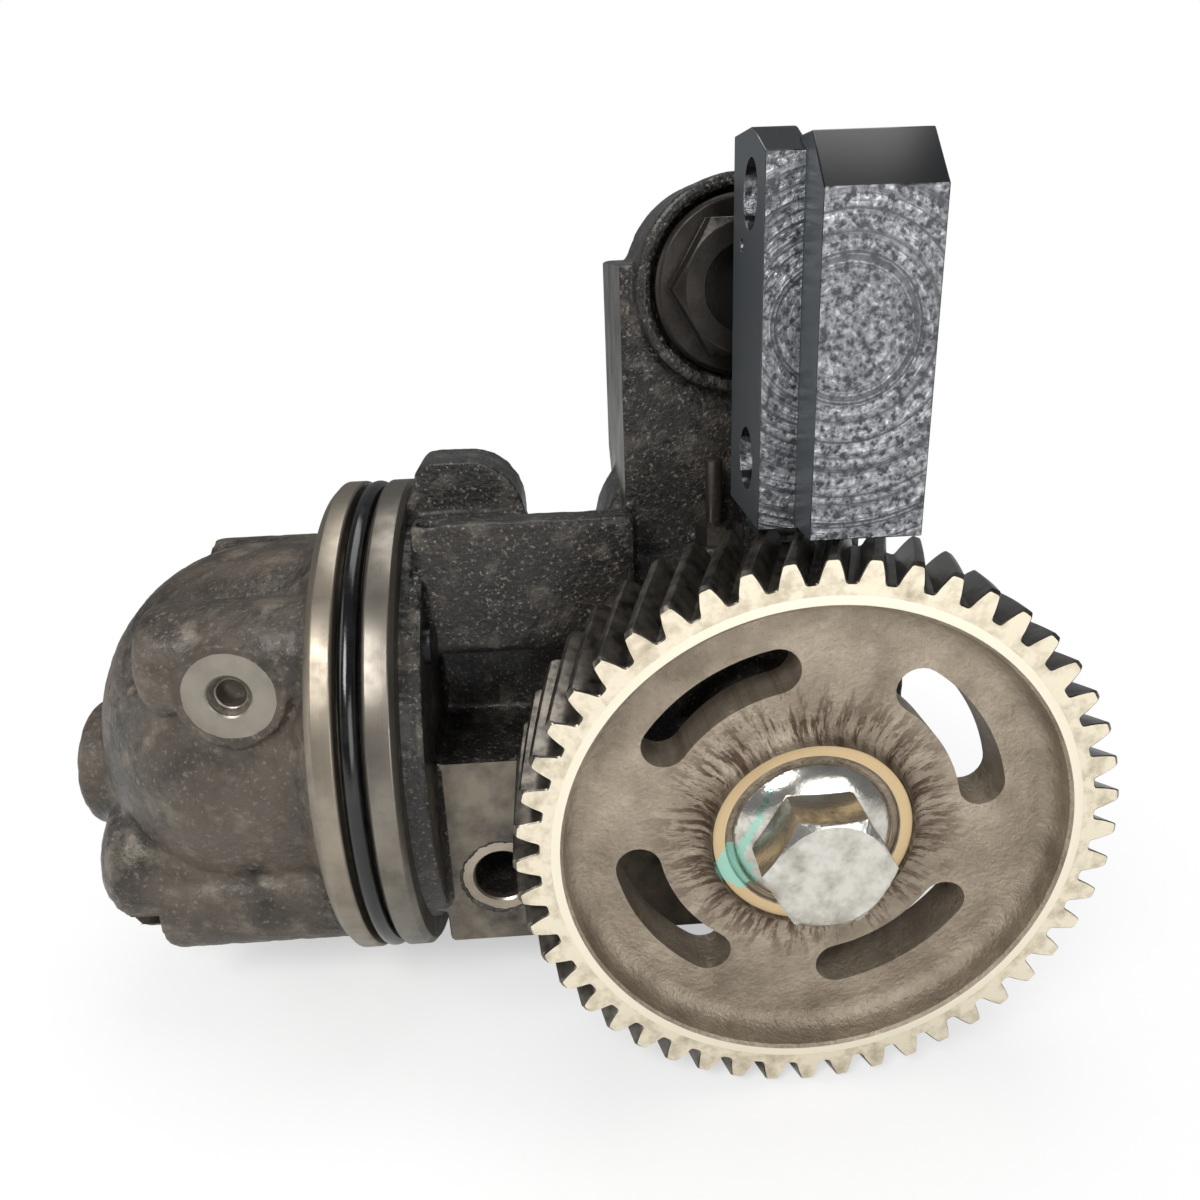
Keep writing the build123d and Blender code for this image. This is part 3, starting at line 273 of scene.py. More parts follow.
def turned_lines(tree: Tree, coords: Socket, turned: Turned, centre_mm: tuple, pitch_mm: float) -> Socket:
    """Fine lines left by a tool round an axis.

    Args:
        tree: the material's tree.
        coords: object coordinates in metres.
        turned: the axis.
        centre_mm: a point of the axis.
        pitch_mm: spacing of the lines, coarse enough to show.

    Returns:
        A height from 0 to 1.
    """
    radius = distance_from(tree, coords, centre_mm, turned.value)
    parts = add_node(tree, Kind.SPLIT, {0: coords})
    along = add_node(tree, Kind.TIMES, {0: parts.outputs[0 if turned is Turned.ABOUT_X else 1], 1: 1 / MM})
    section = add_node(tree, Kind.JOIN, {0: radius, 1: along})
    lines = add_node(
        tree, Kind.NOISE, {"Vector": section, "Scale": 1 / pitch_mm, "Detail": 2.0, "Roughness": 0.7}
    )
    return lines.outputs[0]


@dataclass(frozen=True)
class Finish:
    """A surface of the pump. Subclasses say how it is made."""

    name: str

    def material(self) -> bpy.types.Material:
        """The material, made once."""
        made = bpy.data.materials.get(self.name)
        if made:
            return made
        made = bpy.data.materials.new(self.name)
        made.use_nodes = True
        tree = made.node_tree
        tree.nodes.clear()
        shader = add_node(tree, Kind.PRINCIPLED)
        add_node(tree, Kind.MATERIAL, {"Surface": shader})
        coords = add_node(tree, Kind.COORDINATES).outputs["Object"]
        self.dress(tree, shader, coords)
        return made

    def dress(self, tree: Tree, shader: bpy.types.Node, coords: Socket) -> None:
        """Fill in the shader; each kind of finish has its own."""
        raise NotImplementedError

    def relief(self, tree: Tree, shader: bpy.types.Node, height: Socket, depth_mm: float) -> None:
        """Give the shader a bump from a height of 0 to 1 that is depth_mm deep."""
        bump = add_node(tree, Kind.BUMP, {"Height": height, "Distance": depth_mm * MM, "Strength": 1.0})
        feed(tree, shader, {"Normal": bump})


@dataclass(frozen=True)
class CutFace:
    """A flat face that was milled on a casting."""

    axis: int
    sign: float
    place_mm: float
    colour: str


@dataclass(frozen=True)
class CastIron(Finish):
    """Sand-cast iron under a film of oil: granular, patchy, with painted glints on its grain."""

    dark: str = "#100e0d"
    middle: str = "#292521"
    light: str = "#7d766b"
    grain_mm: float = 1.5
    depth_mm: float = 0.5
    metallic: float = 0.4
    rough: float = 0.4
    # How strongly the bright specks, which are painted glints, show on the grain.
    glint_strength: float = 0.8
    oil: float = 0.3
    oil_patch_mm: float = 26.0
    dust_patch_mm: float = 9.0
    wear_patch_mm: float = 12.0
    cut_faces: tuple[CutFace, ...] = ()

    def dress(self, tree: Tree, shader: bpy.types.Node, coords: Socket) -> None:
        """Cast skin with oil patches, then the milled faces over it."""
        oily = patches(tree, coords, self.oil_patch_mm, 0.42, 0.62)
        dusty = patches(tree, coords, self.dust_patch_mm, 0.52, 0.72, seed=3.0)
        grain = patches(tree, coords, self.grain_mm, 0.3, 0.75, seed=7.0)
        # Bright specks on the grain are painted glints: highlight painted into the colour, toward the light
        # tone.
        glint_spots = patches(tree, coords, self.grain_mm * 0.7, 0.57, 0.66, seed=11.0)
        skin = add_node(tree, Kind.MIX, {0: oily, 6: linear(self.middle), 7: linear(self.dark)})
        dust_share = add_node(tree, Kind.TIMES, {0: dusty, 1: 0.45})
        dust = add_node(tree, Kind.MIX, {0: dust_share, 6: skin, 7: linear(self.light)})
        glint = add_node(tree, Kind.TIMES, {0: glint_spots, 1: self.glint_strength})
        colour = add_node(tree, Kind.MIX, {0: glint, 6: dust, 7: linear(self.light)}).outputs[2]
        rough = add_node(
            tree, Kind.RANGE, {"Value": oily, "To Min": self.rough + 0.14, "To Max": self.rough - 0.1}
        ).outputs[0]
        height = grain
        for face in self.cut_faces:
            parts = add_node(tree, Kind.SPLIT, {0: coords})
            level = add_node(
                tree, Kind.NEAR, {0: parts.outputs[face.axis], 1: face.place_mm * MM, 2: 0.5 * MM}
            )
            mask = add_node(tree, Kind.TIMES, {0: level, 1: facing(tree, face.axis, face.sign)}).outputs[0]
            worn = patches(tree, coords, self.wear_patch_mm, 0.35, 0.7, seed=5.0 + face.axis)
            bare = add_node(tree, Kind.MIX, {0: worn, 6: linear(face.colour), 7: linear(self.middle)})
            colour = add_node(tree, Kind.MIX, {0: mask, 6: colour, 7: bare}).outputs[2]
            height = add_node(tree, Kind.BLEND, {0: mask, 2: height, 3: 0.5}).outputs[0]
        feed(tree, shader, {"Base Color": colour, "Roughness": rough, "Metallic": self.metallic})
        feed(tree, shader, {"Coat Weight": self.oil, "Coat Roughness": 0.22})
        self.relief(tree, shader, height, self.depth_mm)


@dataclass(frozen=True)
class WorkedMetal(Finish):
    """Turned, ground or rolled metal with fine tool lines, tarnish and handling marks."""

    base: str = "#8e8a84"
    tarnish: str = "#5d564d"
    metallic: float = 0.9
    rough: float = 0.32
    line_mm: float = 0.5
    depth_mm: float = 0.02
    turned: Turned = Turned.NONE
    centre_mm: tuple[float, float, float] = (0.0, 0.0, 0.0)

    def dress(self, tree: Tree, shader: bpy.types.Node, coords: Socket) -> None:
        """Bright metal with darker, rougher tarnish in patches."""
        old = patches(tree, coords, 11.0, 0.4, 0.75, seed=2.0)
        fine = patches(tree, coords, 1.2, 0.35, 0.75, seed=9.0)
        if self.turned is Turned.NONE:
            lines = fine
        else:
            lines = turned_lines(tree, coords, self.turned, self.centre_mm, self.line_mm)
        share = add_node(tree, Kind.TIMES, {0: old, 1: lines})
        colour = add_node(tree, Kind.MIX, {0: share, 6: linear(self.base), 7: linear(self.tarnish)})
        rough = add_node(
            tree, Kind.RANGE, {"Value": old, "To Min": self.rough - 0.06, "To Max": self.rough + 0.16}
        )
        feed(tree, shader, {"Base Color": colour, "Roughness": rough, "Metallic": self.metallic})
        self.relief(tree, shader, lines, self.depth_mm)


@dataclass(frozen=True)
class Moulded(Finish):
    """Rubber or fibre sheet: one colour with a fine texture."""

    base: str = "#0b0b0c"
    worn: str = "#1c1c1d"
    rough: float = 0.2
    grain_mm: float = 0.8
    depth_mm: float = 0.01

    def dress(self, tree: Tree, shader: bpy.types.Node, coords: Socket) -> None:
        """A dark base with faint wear."""
        wear = patches(tree, coords, 7.0, 0.45, 0.75)
        grain = patches(tree, coords, self.grain_mm, 0.3, 0.7, seed=4.0)
        colour = add_node(tree, Kind.MIX, {0: wear, 6: linear(self.base), 7: linear(self.worn)})
        rough = add_node(tree, Kind.RANGE, {"Value": wear, "To Min": self.rough, "To Max": self.rough + 0.12})
        feed(tree, shader, {"Base Color": colour, "Roughness": rough})
        self.relief(tree, shader, grain, self.depth_mm)


@dataclass(frozen=True)
class PaintMark:
    """The fitter's dab of paint across the bolt's flange and the hub, with its thin run."""

    spots_mm: tuple[tuple[float, float, float], ...]
    colour: str = "#9ac6b6"
    ragged: float = 1.5
    edge_mm: float = 0.2
    wander_mm: float = 2.5

    def over(self, tree: Tree, coords: Socket, colour: Socket) -> Socket:
        """Lay the paint over a colour.

        Args:
            tree: the material's tree.
            coords: object coordinates in metres.
            colour: what is under the paint.

        Returns:
            The colour with the paint on it.
        """
        wander = add_node(
            tree, Kind.NOISE, {"Vector": coords, "Scale": 1 / (self.wander_mm * MM), "Detail": 3.0}
        )
        for x, z, radius in self.spots_mm:
            rim = self.ragged * radius
            near = distance_from(tree, coords, (x, 0.0, z), (1, 0, 1))
            edge = add_node(tree, Kind.TIMES_PLUS, {0: wander, 1: radius, 2: near})
            mask = add_node(
                tree,
                Kind.RANGE,
                {"Value": edge, "From Min": rim + self.edge_mm, "From Max": rim - self.edge_mm},
            )
            colour = add_node(tree, Kind.MIX, {0: mask, 6: colour, 7: linear(self.colour)}).outputs[2]
        return colour


@dataclass(frozen=True)
class ZincPlate(Finish):
    """Bright zinc on a pressed bolt: silvery, faintly mottled, dull where handled."""

    mark: PaintMark
    base: str = "#cfccc4"
    dull: str = "#8f897e"

    def dress(self, tree: Tree, shader: bpy.types.Node, coords: Socket) -> None:
        """Bright plate with soft dull patches and the paint mark."""
        dull = patches(tree, coords, 6.0, 0.42, 0.75)
        dents = patches(tree, coords, 1.6, 0.3, 0.7, seed=6.0)
        plate = add_node(tree, Kind.MIX, {0: dull, 6: linear(self.base), 7: linear(self.dull)})
        marked = self.mark.over(tree, coords, plate.outputs[2])
        rough = add_node(tree, Kind.RANGE, {"Value": dull, "To Min": 0.16, "To Max": 0.34})
        feed(tree, shader, {"Base Color": marked, "Roughness": rough, "Metallic": 0.95})
        self.relief(tree, shader, dents, 0.03)


@dataclass(frozen=True)
class ToothSteel(Finish):
    """Hardened gear steel: cream, finely turned end faces, and darker oily flanks."""

    centre_mm: tuple[float, float, float]
    face: str = "#e0d6c0"
    face_shade: str = "#97896f"
    flank: str = "#6b655c"
    flank_dark: str = "#2d2a26"

    def dress(self, tree: Tree, shader: bpy.types.Node, coords: Socket) -> None:
        """Turned end faces, and flanks with oil between the teeth."""
        front = facing(tree, 1, -1.0)
        rear = facing(tree, 1, 1.0)
        ends = add_node(tree, Kind.EITHER, {0: front, 1: rear})
        lines = turned_lines(tree, coords, Turned.ABOUT_Y, self.centre_mm, 0.7)
        worn = patches(tree, coords, 5.0, 0.45, 0.8)
        oil = patches(tree, coords, 4.0, 0.35, 0.65, seed=8.0)
        face = add_node(tree, Kind.MIX, {0: worn, 6: linear(self.face), 7: linear(self.face_shade)})
        flank = add_node(tree, Kind.MIX, {0: oil, 6: linear(self.flank), 7: linear(self.flank_dark)})
        colour = add_node(tree, Kind.MIX, {0: ends, 6: flank, 7: face})
        rough = add_node(tree, Kind.RANGE, {"Value": ends, "To Min": 0.26, "To Max": 0.42})
        feed(tree, shader, {"Base Color": colour, "Roughness": rough, "Metallic": 0.75})
        self.relief(tree, shader, lines, 0.02)


@dataclass(frozen=True)
class GearWeb(Finish):
    """The gear's web: granular cast skin, a bright turned rim and hub, and oil stains by the hub."""

    centre_mm: tuple[float, float, float]
    rim_mm: float
    hub_mm: float
    bolt_mm: float
    front_mm: float
    hub_front_mm: float
    mark: PaintMark
    skin: str = "#ada08e"
    skin_dark: str = "#7b6f60"
    rim: str = "#e3dac6"
    hub: str = "#c9b088"
    stain: str = "#43301f"

    def dress(self, tree: Tree, shader: bpy.types.Node, coords: Socket) -> None:
        """Skin, then stains, then the two turned faces."""
        radius = distance_from(tree, coords, self.centre_mm, (1, 0, 1))
        tone = patches(tree, coords, 14.0, 0.35, 0.7)
        grain = patches(tree, coords, 1.3, 0.3, 0.72, seed=7.0)
        skin = add_node(tree, Kind.MIX, {0: tone, 6: linear(self.skin), 7: linear(self.skin_dark)})
        pits = add_node(tree, Kind.RANGE, {"Value": grain, "To Min": 0.35, "To Max": 0.0})
        colour = add_node(tree, Kind.MIX, {0: pits, 6: skin, 7: linear(self.skin_dark)}).outputs[2]
        colour = self.stained(tree, coords, radius, colour)
        front = facing(tree, 1, -1.0)
        for inner, outer, place, hex_colour in (
            (self.rim_mm - 0.4, self.rim_mm + 20.0, self.front_mm, self.rim),
            (self.bolt_mm - 2.0, self.hub_mm + 0.4, self.hub_front_mm, self.hub),
        ):
            past = add_node(tree, Kind.MORE, {0: radius, 1: inner})
            short = add_node(tree, Kind.LESS, {0: radius, 1: outer})
            ring = add_node(tree, Kind.TIMES, {0: past, 1: short})
            parts = add_node(tree, Kind.SPLIT, {0: coords})
            level = add_node(tree, Kind.LESS, {0: parts.outputs[1], 1: (place + 0.6) * MM})
            flat = add_node(tree, Kind.TIMES, {0: ring, 1: level})
            mask = add_node(tree, Kind.TIMES, {0: flat, 1: front}).outputs[0]
            colour = add_node(tree, Kind.MIX, {0: mask, 6: colour, 7: linear(hex_colour)}).outputs[2]
            grain = add_node(tree, Kind.BLEND, {0: mask, 2: grain, 3: 0.6}).outputs[0]
        marked = self.mark.over(tree, coords, colour)
        feed(tree, shader, {"Base Color": marked, "Roughness": 0.45, "Metallic": 0.55})
        self.relief(tree, shader, grain, 0.3)

    def stained(self, tree: Tree, coords: Socket, radius: Socket, colour: Socket) -> Socket:
        """Dark oil stains in a ring about the hub, drawn out along the radius.

        Args:
            tree: the material's tree.
            coords: object coordinates in metres.
            radius: distance from the gear's axis in millimetres.
            colour: what is under the stains.

        Returns:
            The stained colour.
        """
        place = add_node(
            tree,
            Kind.MAPPING,
            {
                "Vector": coords,
                "Location": (-self.centre_mm[0], 0.0, -self.centre_mm[2]),
                "Scale": (1 / MM, 0.0, 1 / MM),
            },
        )
        unit = add_node(tree, Kind.UNIT, {0: place})
        reach = add_node(tree, Kind.TIMES, {0: radius, 1: 0.006})
        lift = add_node(tree, Kind.JOIN, {1: reach})
        polar = add_node(tree, Kind.SUM, {0: unit, 1: lift})
        for scale, low, high, inner, outer, strength in (
            (5.0, 0.42, 0.58, self.hub_mm - 0.5, self.hub_mm + 9.0, 0.75),
            (15.0, 0.48, 0.56, self.hub_mm + 4.0, self.hub_mm + 18.0, 0.95),
        ):
            streak = add_node(
                tree, Kind.NOISE, {"Vector": polar, "Scale": scale, "Detail": 5.0, "Roughness": 0.7}
            )
            shape = add_node(
                tree, Kind.RANGE, {"Value": streak, "From Min": low, "From Max": high, "To Max": strength}
            )
            fade = add_node(tree, Kind.RANGE, {"Value": radius, "From Min": outer, "From Max": inner})
            start = add_node(
                tree,
                Kind.RANGE,
                {"Value": radius, "From Min": self.hub_mm - 1.0, "From Max": self.hub_mm + 0.5},
            )
            band = add_node(tree, Kind.TIMES, {0: fade, 1: start})
            mask = add_node(tree, Kind.TIMES, {0: shape, 1: band})
            colour = add_node(tree, Kind.MIX, {0: mask, 6: colour, 7: linear(self.stain)}).outputs[2]
        return colour


@dataclass(frozen=True)
class BlackPaint(Finish):
    """Thin black paint on milled steel: glossy on top, and on its front bright grain that is part bare metal
    and part painted glint.
    """

    arcs_mm: tuple[float, float, float]
    paint: str = "#101112"
    # Colour of the front's bright grain: part bare metal and part painted glint.
    bare_and_glint: str = "#bfc1c4"
    side: str = "#6d7276"

    def dress(self, tree: Tree, shader: bpy.types.Node, coords: Socket) -> None:
        """Paint first, then the front's bright grain, part bare metal and part painted glint, with its cutter
        arcs, then the side face.
        """
        front = facing(tree, 1, -1.0)
        left = facing(tree, 0, -1.0)
        grain = patches(tree, coords, 1.5, 0.38, 0.62, seed=1.0)
        blots = patches(tree, coords, 22.0, 0.3, 0.75, seed=2.0)
        arcs = turned_lines(tree, coords, Turned.ABOUT_Y, self.arcs_mm, 1.6)
        from_centre = distance_from(tree, coords, self.arcs_mm, (1, 0, 1))
        arc_depth = add_node(
            tree, Kind.RANGE, {"Value": arcs, "From Min": 0.38, "From Max": 0.56, "To Min": 0.15}
        ).outputs[0]
        swept = add_node(tree, Kind.RANGE, {"Value": from_centre, "From Min": 7.0, "From Max": 14.0})
        arc_share = add_node(tree, Kind.BLEND, {0: swept, 2: 0.7, 3: arc_depth})
        # The front's bright specks are part bare metal and part painted glint, and follow the cutter arcs.
        speck = add_node(tree, Kind.TIMES, {0: grain, 1: arc_share})
        shown = add_node(tree, Kind.RANGE, {"Value": blots, "To Min": 1.0, "To Max": 0.55})
        share = add_node(tree, Kind.TIMES, {0: speck, 1: shown})
        front_colour = add_node(tree, Kind.MIX, {0: share, 6: linear("#37383b"), 7: linear(self.bare_and_glint)})
        colour = add_node(tree, Kind.MIX, {0: front, 6: linear(self.paint), 7: front_colour})
        side = add_node(tree, Kind.MIX, {0: left, 6: colour, 7: linear(self.side)})
        worked = add_node(tree, Kind.MAXIMUM, {0: front, 1: left})
        rough = add_node(tree, Kind.RANGE, {"Value": worked, "To Min": 0.16, "To Max": 0.36})
        metal = add_node(tree, Kind.RANGE, {"Value": worked, "To Min": 0.0, "To Max": 0.75})
        feed(tree, shader, {"Base Color": side, "Roughness": rough, "Metallic": metal})
        rise = add_node(tree, Kind.TIMES, {0: speck, 1: front})
        self.relief(tree, shader, rise.outputs[0], 0.25)


# ---------------------------------------------------------------- shapes


def eased(outline: Outline, ease_mm: float, steps: int = 3) -> Outline:
    """Round the corners of a closed outline.

    Args:
        outline: its corners, in millimetres.
        ease_mm: how far back each corner is cut.
        steps: pieces of each round.

    Returns:
        The outline with a small curve at each corner.
    """
    rounded: Outline = []
    for index, corner in enumerate(outline):
        here = Vector(corner)
        sides = []
        for other in (outline[index - 1], outline[(index + 1) % len(outline)]):
            away = Vector(other) - here
            sides.append(here + away.normalized() * min(ease_mm, 0.45 * away.length))
        for step in range(steps + 1):
            t = step / steps
            point = sides[0] * (1 - t) ** 2 + here * 2 * t * (1 - t) + sides[1] * t**2
            rounded.append((point.x, point.y))
    return rounded


# Faces larger than this are planes, and are shaded flat.
FLAT_FACE = 120 * MM**2
# A broken edge on turned work.
EDGE_MM = 0.3


def finished(name: str, mesh: bpy.types.Mesh, finish: Finish, smooth_deg: float = 32.0) -> bpy.types.Object:
    """Make a shown piece of a mesh.

    Args:
        name: the piece's name.
        mesh: its mesh, in metres in the shared frame.
        finish: its surface.
        smooth_deg: edges sharper than this stay sharp.

    Returns:
        The object, at the origin.
    """
    mesh.name = name
    mesh.materials.clear()
    mesh.materials.append(finish.material())
    mesh.shade_smooth()
    mesh.set_sharp_from_angle(angle=math.radians(smooth_deg))
    for face in mesh.polygons:
        face.use_smooth = len(face.vertices) <= 4 and face.area < FLAT_FACE
    piece = bpy.data.objects.new(name, mesh)
    bpy.context.scene.collection.objects.link(piece)
    return piece


def skin(rows: list[list[Vector]], ring: bool, open_sides: frozenset[int] = frozenset()) -> bpy.types.Mesh:
    """Join rows of points to a surface.

    Args:
        rows: closed rows, all with as many points.
        ring: true if the last row joins the first, false if both ends are capped.
        open_sides: places along a row that get no face.

    Returns:
        The mesh, facing outwards.
    """
    shape = bmesh.new()
    made = [[shape.verts.new(point) for point in row] for row in rows]
    for one, two in zip(made, made[1:] + (made[:1] if ring else [])):
        for a in range(len(one)):
            if a not in open_sides:
                b = (a + 1) % len(one)
                shape.faces.new((one[a], one[b], two[b], two[a]))
    if not ring:
        shape.faces.new(list(reversed(made[0])))
        shape.faces.new(made[-1])
    bmesh.ops.recalc_face_normals(shape, faces=shape.faces)
    mesh = bpy.data.meshes.new("skinned")
    shape.to_mesh(mesh)
    shape.free()
    return mesh


def lathe(
    outline: Outline, place: Callable[[float, float, float], Vector], segments: int = 160
) -> bpy.types.Mesh:
    """Turn a closed outline of radius and length about an axis.

    Args:
        outline: (radius, along) corners in millimetres, none on the axis.
        place: gives the point of (radius, along, angle).
        segments: steps round the axis.

    Returns:
        A closed ring.
    """
    turns = [math.tau * step / segments for step in range(segments)]
    return skin([[place(r, along, angle) for r, along in outline] for angle in turns], ring=True)


def about_x(y_mm: float = 0.0, z_mm: float = 0.0) -> Callable[[float, float, float], Vector]:
    """Places for a lathe about an axis along X."""
    return lambda r, along, a: Vector((along, y_mm + r * math.cos(a), z_mm + r * math.sin(a))) * MM


def about_y(x_mm: float = 0.0, z_mm: float = 0.0) -> Callable[[float, float, float], Vector]:
    """Places for a lathe about an axis along Y."""
    return lambda r, along, a: Vector((x_mm + r * math.cos(a), along, z_mm + r * math.sin(a))) * MM


def merged(node: str) -> bpy.types.Mesh:
    """Copy a CAD node's mesh, with its loose triangles joined at their corners."""
    shape = bmesh.new()
    shape.from_mesh(frame["nodes"][node].data)
    bmesh.ops.remove_doubles(shape, verts=shape.verts, dist=1e-6)
    mesh = bpy.data.meshes.new(node + "_copy")
    shape.to_mesh(mesh)
    shape.free()
    return mesh


def taken(holder: bpy.types.Object) -> bpy.types.Mesh:
    """Take the evaluated mesh of an object and remove the object."""
    result = bpy.data.meshes.new_from_object(holder.evaluated_get(bpy.context.evaluated_depsgraph_get()))
    bpy.data.objects.remove(holder)
    return result


def with_modifiers(mesh: bpy.types.Mesh, settings: list[tuple[str, dict]]) -> bpy.types.Mesh:
    """Apply modifiers to a mesh.

    Args:
        mesh: what they work on.
        settings: each modifier's kind and properties, in order.

    Returns:
        The resulting mesh.
    """
    holder = bpy.data.objects.new("holder", mesh)
    bpy.context.scene.collection.objects.link(holder)
    for kind, properties in settings:
        modifier = holder.modifiers.new(kind.lower(), kind)
        for key, value in properties.items():
            setattr(modifier, key, value)
    return taken(holder)


def bevel(width_mm: float, segments: int, sharp_deg: float) -> tuple[str, dict]:
    """A modifier that rounds the edges sharper than an angle."""
    limit = {"limit_method": "ANGLE", "angle_limit": math.radians(sharp_deg)}
    return "BEVEL", {"width": width_mm * MM, "segments": segments, **limit}


def eased_copy(node: str, width_mm: float) -> bpy.types.Mesh:
    """Copy a machined CAD piece and break its sharp edges.

    Args:
        node: the CAD node.
        width_mm: width of the broken edges.

    Returns:
        The mesh.
    """
    mesh = merged(node)
    shape = bmesh.new()
    shape.from_mesh(mesh)
    bmesh.ops.dissolve_limit(shape, angle_limit=math.radians(1.0), verts=shape.verts, edges=shape.edges)
    shape.to_mesh(mesh)
    shape.free()
    return with_modifiers(mesh, [bevel(width_mm, 2, 28)])


MOST_TRIANGLES = 185_000


def cast_copy(node: str, voxel_mm: float, rounds: int) -> bpy.types.Mesh:
    """Copy a cast CAD piece and soften it as sand casting does.

    Args:
        node: the CAD node.
        voxel_mm: size of the grid that it is rebuilt on.
        rounds: how often the surface is smoothed.

    Returns:
        A closed mesh with soft edges and blended corners.
    """
    grid = {"mode": "VOXEL", "voxel_size": voxel_mm * MM}
    soften = {"factor": 0.5, "iterations": rounds}
    mesh = with_modifiers(merged(node), [("REMESH", grid), ("SMOOTH", soften)])
    triangles = sum(len(face.vertices) - 2 for face in mesh.polygons)
    if triangles > MOST_TRIANGLES:
        mesh = with_modifiers(mesh, [("DECIMATE", {"ratio": MOST_TRIANGLES / triangles})])
    return mesh


def roughen(mesh: bpy.types.Mesh, depth_mm: float, size_mm: float, held: Callable[[Vector], bool]) -> None:
    """Move a cast surface in and out a little, as its sand mould was.

    Args:
        mesh: the mesh, changed in place.
        depth_mm: how far a point moves at most.
        size_mm: size of the lumps.
        held: true for points, in millimetres, that stay where they are.
    """
    normals = [vertex.normal.copy() for vertex in mesh.vertices]
    for vertex, normal in zip(mesh.vertices, normals):
        here = vertex.co / MM
        if not held(here):
            lump = noise.noise(here / size_mm) + 0.5 * noise.noise(here / (size_mm * 0.4))
            vertex.co -= normal * (abs(lump) * depth_mm * MM)


def clear_bore(mesh: bpy.types.Mesh, x: float, z: float, r: float, start: float, end: float) -> None:
    """Push a softened bore along Y back to its own radius, with a little to spare.

    Args:
        mesh: the mesh, changed in place.
        x: the bore's axis in millimetres.
        z: the bore's axis in millimetres.
        r: its radius in millimetres.
        start: where it starts along Y.
        end: where it ends along Y.
    """
    spare, reach = 0.35, 1.3
    for vertex in mesh.vertices:
        here = vertex.co / MM
        away = Vector((here.x - x, 0, here.z - z))
        if start < here.y < end and r - reach < away.length < r + reach:
            away = away.normalized() * max(away.length, r + spare)
            vertex.co = Vector((x + away.x, here.y, z + away.z)) * MM


def off_axis(mesh: bpy.types.Mesh) -> Iterator[tuple[bpy.types.MeshVertex, Vector, float]]:
    """Each vertex with its place and its distance from the X axis, in millimetres."""
    for vertex in mesh.vertices:
        here = vertex.co / MM
        yield vertex, here, Vector((0, here.y, here.z)).length


def tuck(vertex: bpy.types.MeshVertex, most_r: float, start: float, end: float) -> None:
    """Bring a vertex inside a cylinder about the X axis.

    Args:
        vertex: the vertex, moved in place.
        most_r: the cylinder's radius in millimetres.
        start: where it starts along X.
        end: where it ends along X.
    """
    here = vertex.co / MM
    away = Vector((0, here.y, here.z))
    away = away.normalized() * min(away.length, most_r)
    vertex.co = Vector((max(min(here.x, end), start), away.y, away.z)) * MM


def islands(node: str) -> list[tuple[Vector, Vector]]:
    """Find the separate solids of a CAD node.

    Args:
        node: the CAD node.

    Returns:
        Lowest and highest corner of each solid, in millimetres.
    """
    shape = bmesh.new()
    shape.from_mesh(merged(node))
    left, found = set(shape.verts), []
    while left:
        stack, group = [left.pop()], []
        while stack:
            vert = stack.pop()
            group.append(vert.co / MM)
            near = {edge.other_vert(vert) for edge in vert.link_edges} & left
            left -= near
            stack.extend(near)
        low = Vector(min(p[i] for p in group) for i in range(3))
        high = Vector(max(p[i] for p in group) for i in range(3))
        found.append((low, high))
    shape.free()
    return sorted(found, key=lambda box: tuple(box[0]))


def run_tree(tree: Tree, mesh: bpy.types.Mesh, values: dict[str, object]) -> bpy.types.Mesh:
    """Run a Geometry Nodes tree on a mesh and keep the result as a plain mesh.

    Args:
        tree: the tree.
        mesh: its Geometry input.
        values: its other inputs by name.

    Returns:
        The result.
    """
    holder = bpy.data.objects.new("holder", mesh)
    bpy.context.scene.collection.objects.link(holder)
    modifier = holder.modifiers.new("nodes", "NODES")
    modifier.node_group = tree
    for item in tree.interface.items_tree:
        if item.in_out == "INPUT" and item.name in values:
            modifier[item.identifier] = values[item.name]
    return taken(holder)


def new_tree(name: str, inputs: list[tuple[str, str]]) -> tuple[Tree, bpy.types.Node, bpy.types.Node]:
    """Start a Geometry Nodes tree.

    Args:
        name: the tree's name.
        inputs: name and kind of each input after Geometry.

    Returns:
        The tree, its group input node and its group output node.
    """
    tree = bpy.data.node_groups.new(name, "GeometryNodeTree")
    tree.interface.new_socket("Geometry", in_out="INPUT", socket_type="NodeSocketGeometry")
    for label, kind in inputs:
        tree.interface.new_socket(label, in_out="INPUT", socket_type=kind)
    tree.interface.new_socket("Geometry", in_out="OUTPUT", socket_type="NodeSocketGeometry")
    return (tree, add_node(tree, Kind.GROUP_INPUT), add_node(tree, Kind.GROUP_OUTPUT))


def close_tree(tree: Tree, given: bpy.types.Node, out: bpy.types.Node, copies: Socket, merge: bool) -> None:
    """End a tree of copies: realize them, join their borders and give them their material."""
    real = add_node(tree, Kind.REALIZE, {"Geometry": copies})
    geometry = real.outputs[0]
    if merge:
        joined = add_node(tree, Kind.MERGE, {"Geometry": geometry, "Distance": 1e-05})
        geometry = joined.outputs[0]
    dressed = add_node(tree, Kind.SET_MATERIAL, {"Geometry": geometry, "Material": given.outputs["Finish"]})
    feed(tree, out, {0: dressed})


def ring_tree() -> Tree:
    """Tree that sets copies of a mesh round an axis along Y, and joins them where they meet."""
    tree, given, out = new_tree(
        "copies_round_an_axis",
        [
            ("Copies", "NodeSocketInt"),
            ("Step", "NodeSocketFloat"),
            ("Centre", "NodeSocketVector"),
            ("Finish", "NodeSocketMaterial"),
        ],
    )
    points = add_node(
        tree, Kind.POINTS, {"Count": given.outputs["Copies"], "Position": given.outputs["Centre"]}
    )
    index = add_node(tree, Kind.INDEX)
    turn = add_node(tree, Kind.TIMES, {0: index, 1: given.outputs["Step"]})
    rotation = add_node(tree, Kind.JOIN, {1: turn})
    copies = add_node(
        tree, Kind.INSTANCES, {"Points": points, "Instance": given.outputs["Geometry"], "Rotation": rotation}
    )
    close_tree(tree, given, out, copies.outputs[0], merge=True)
    return tree


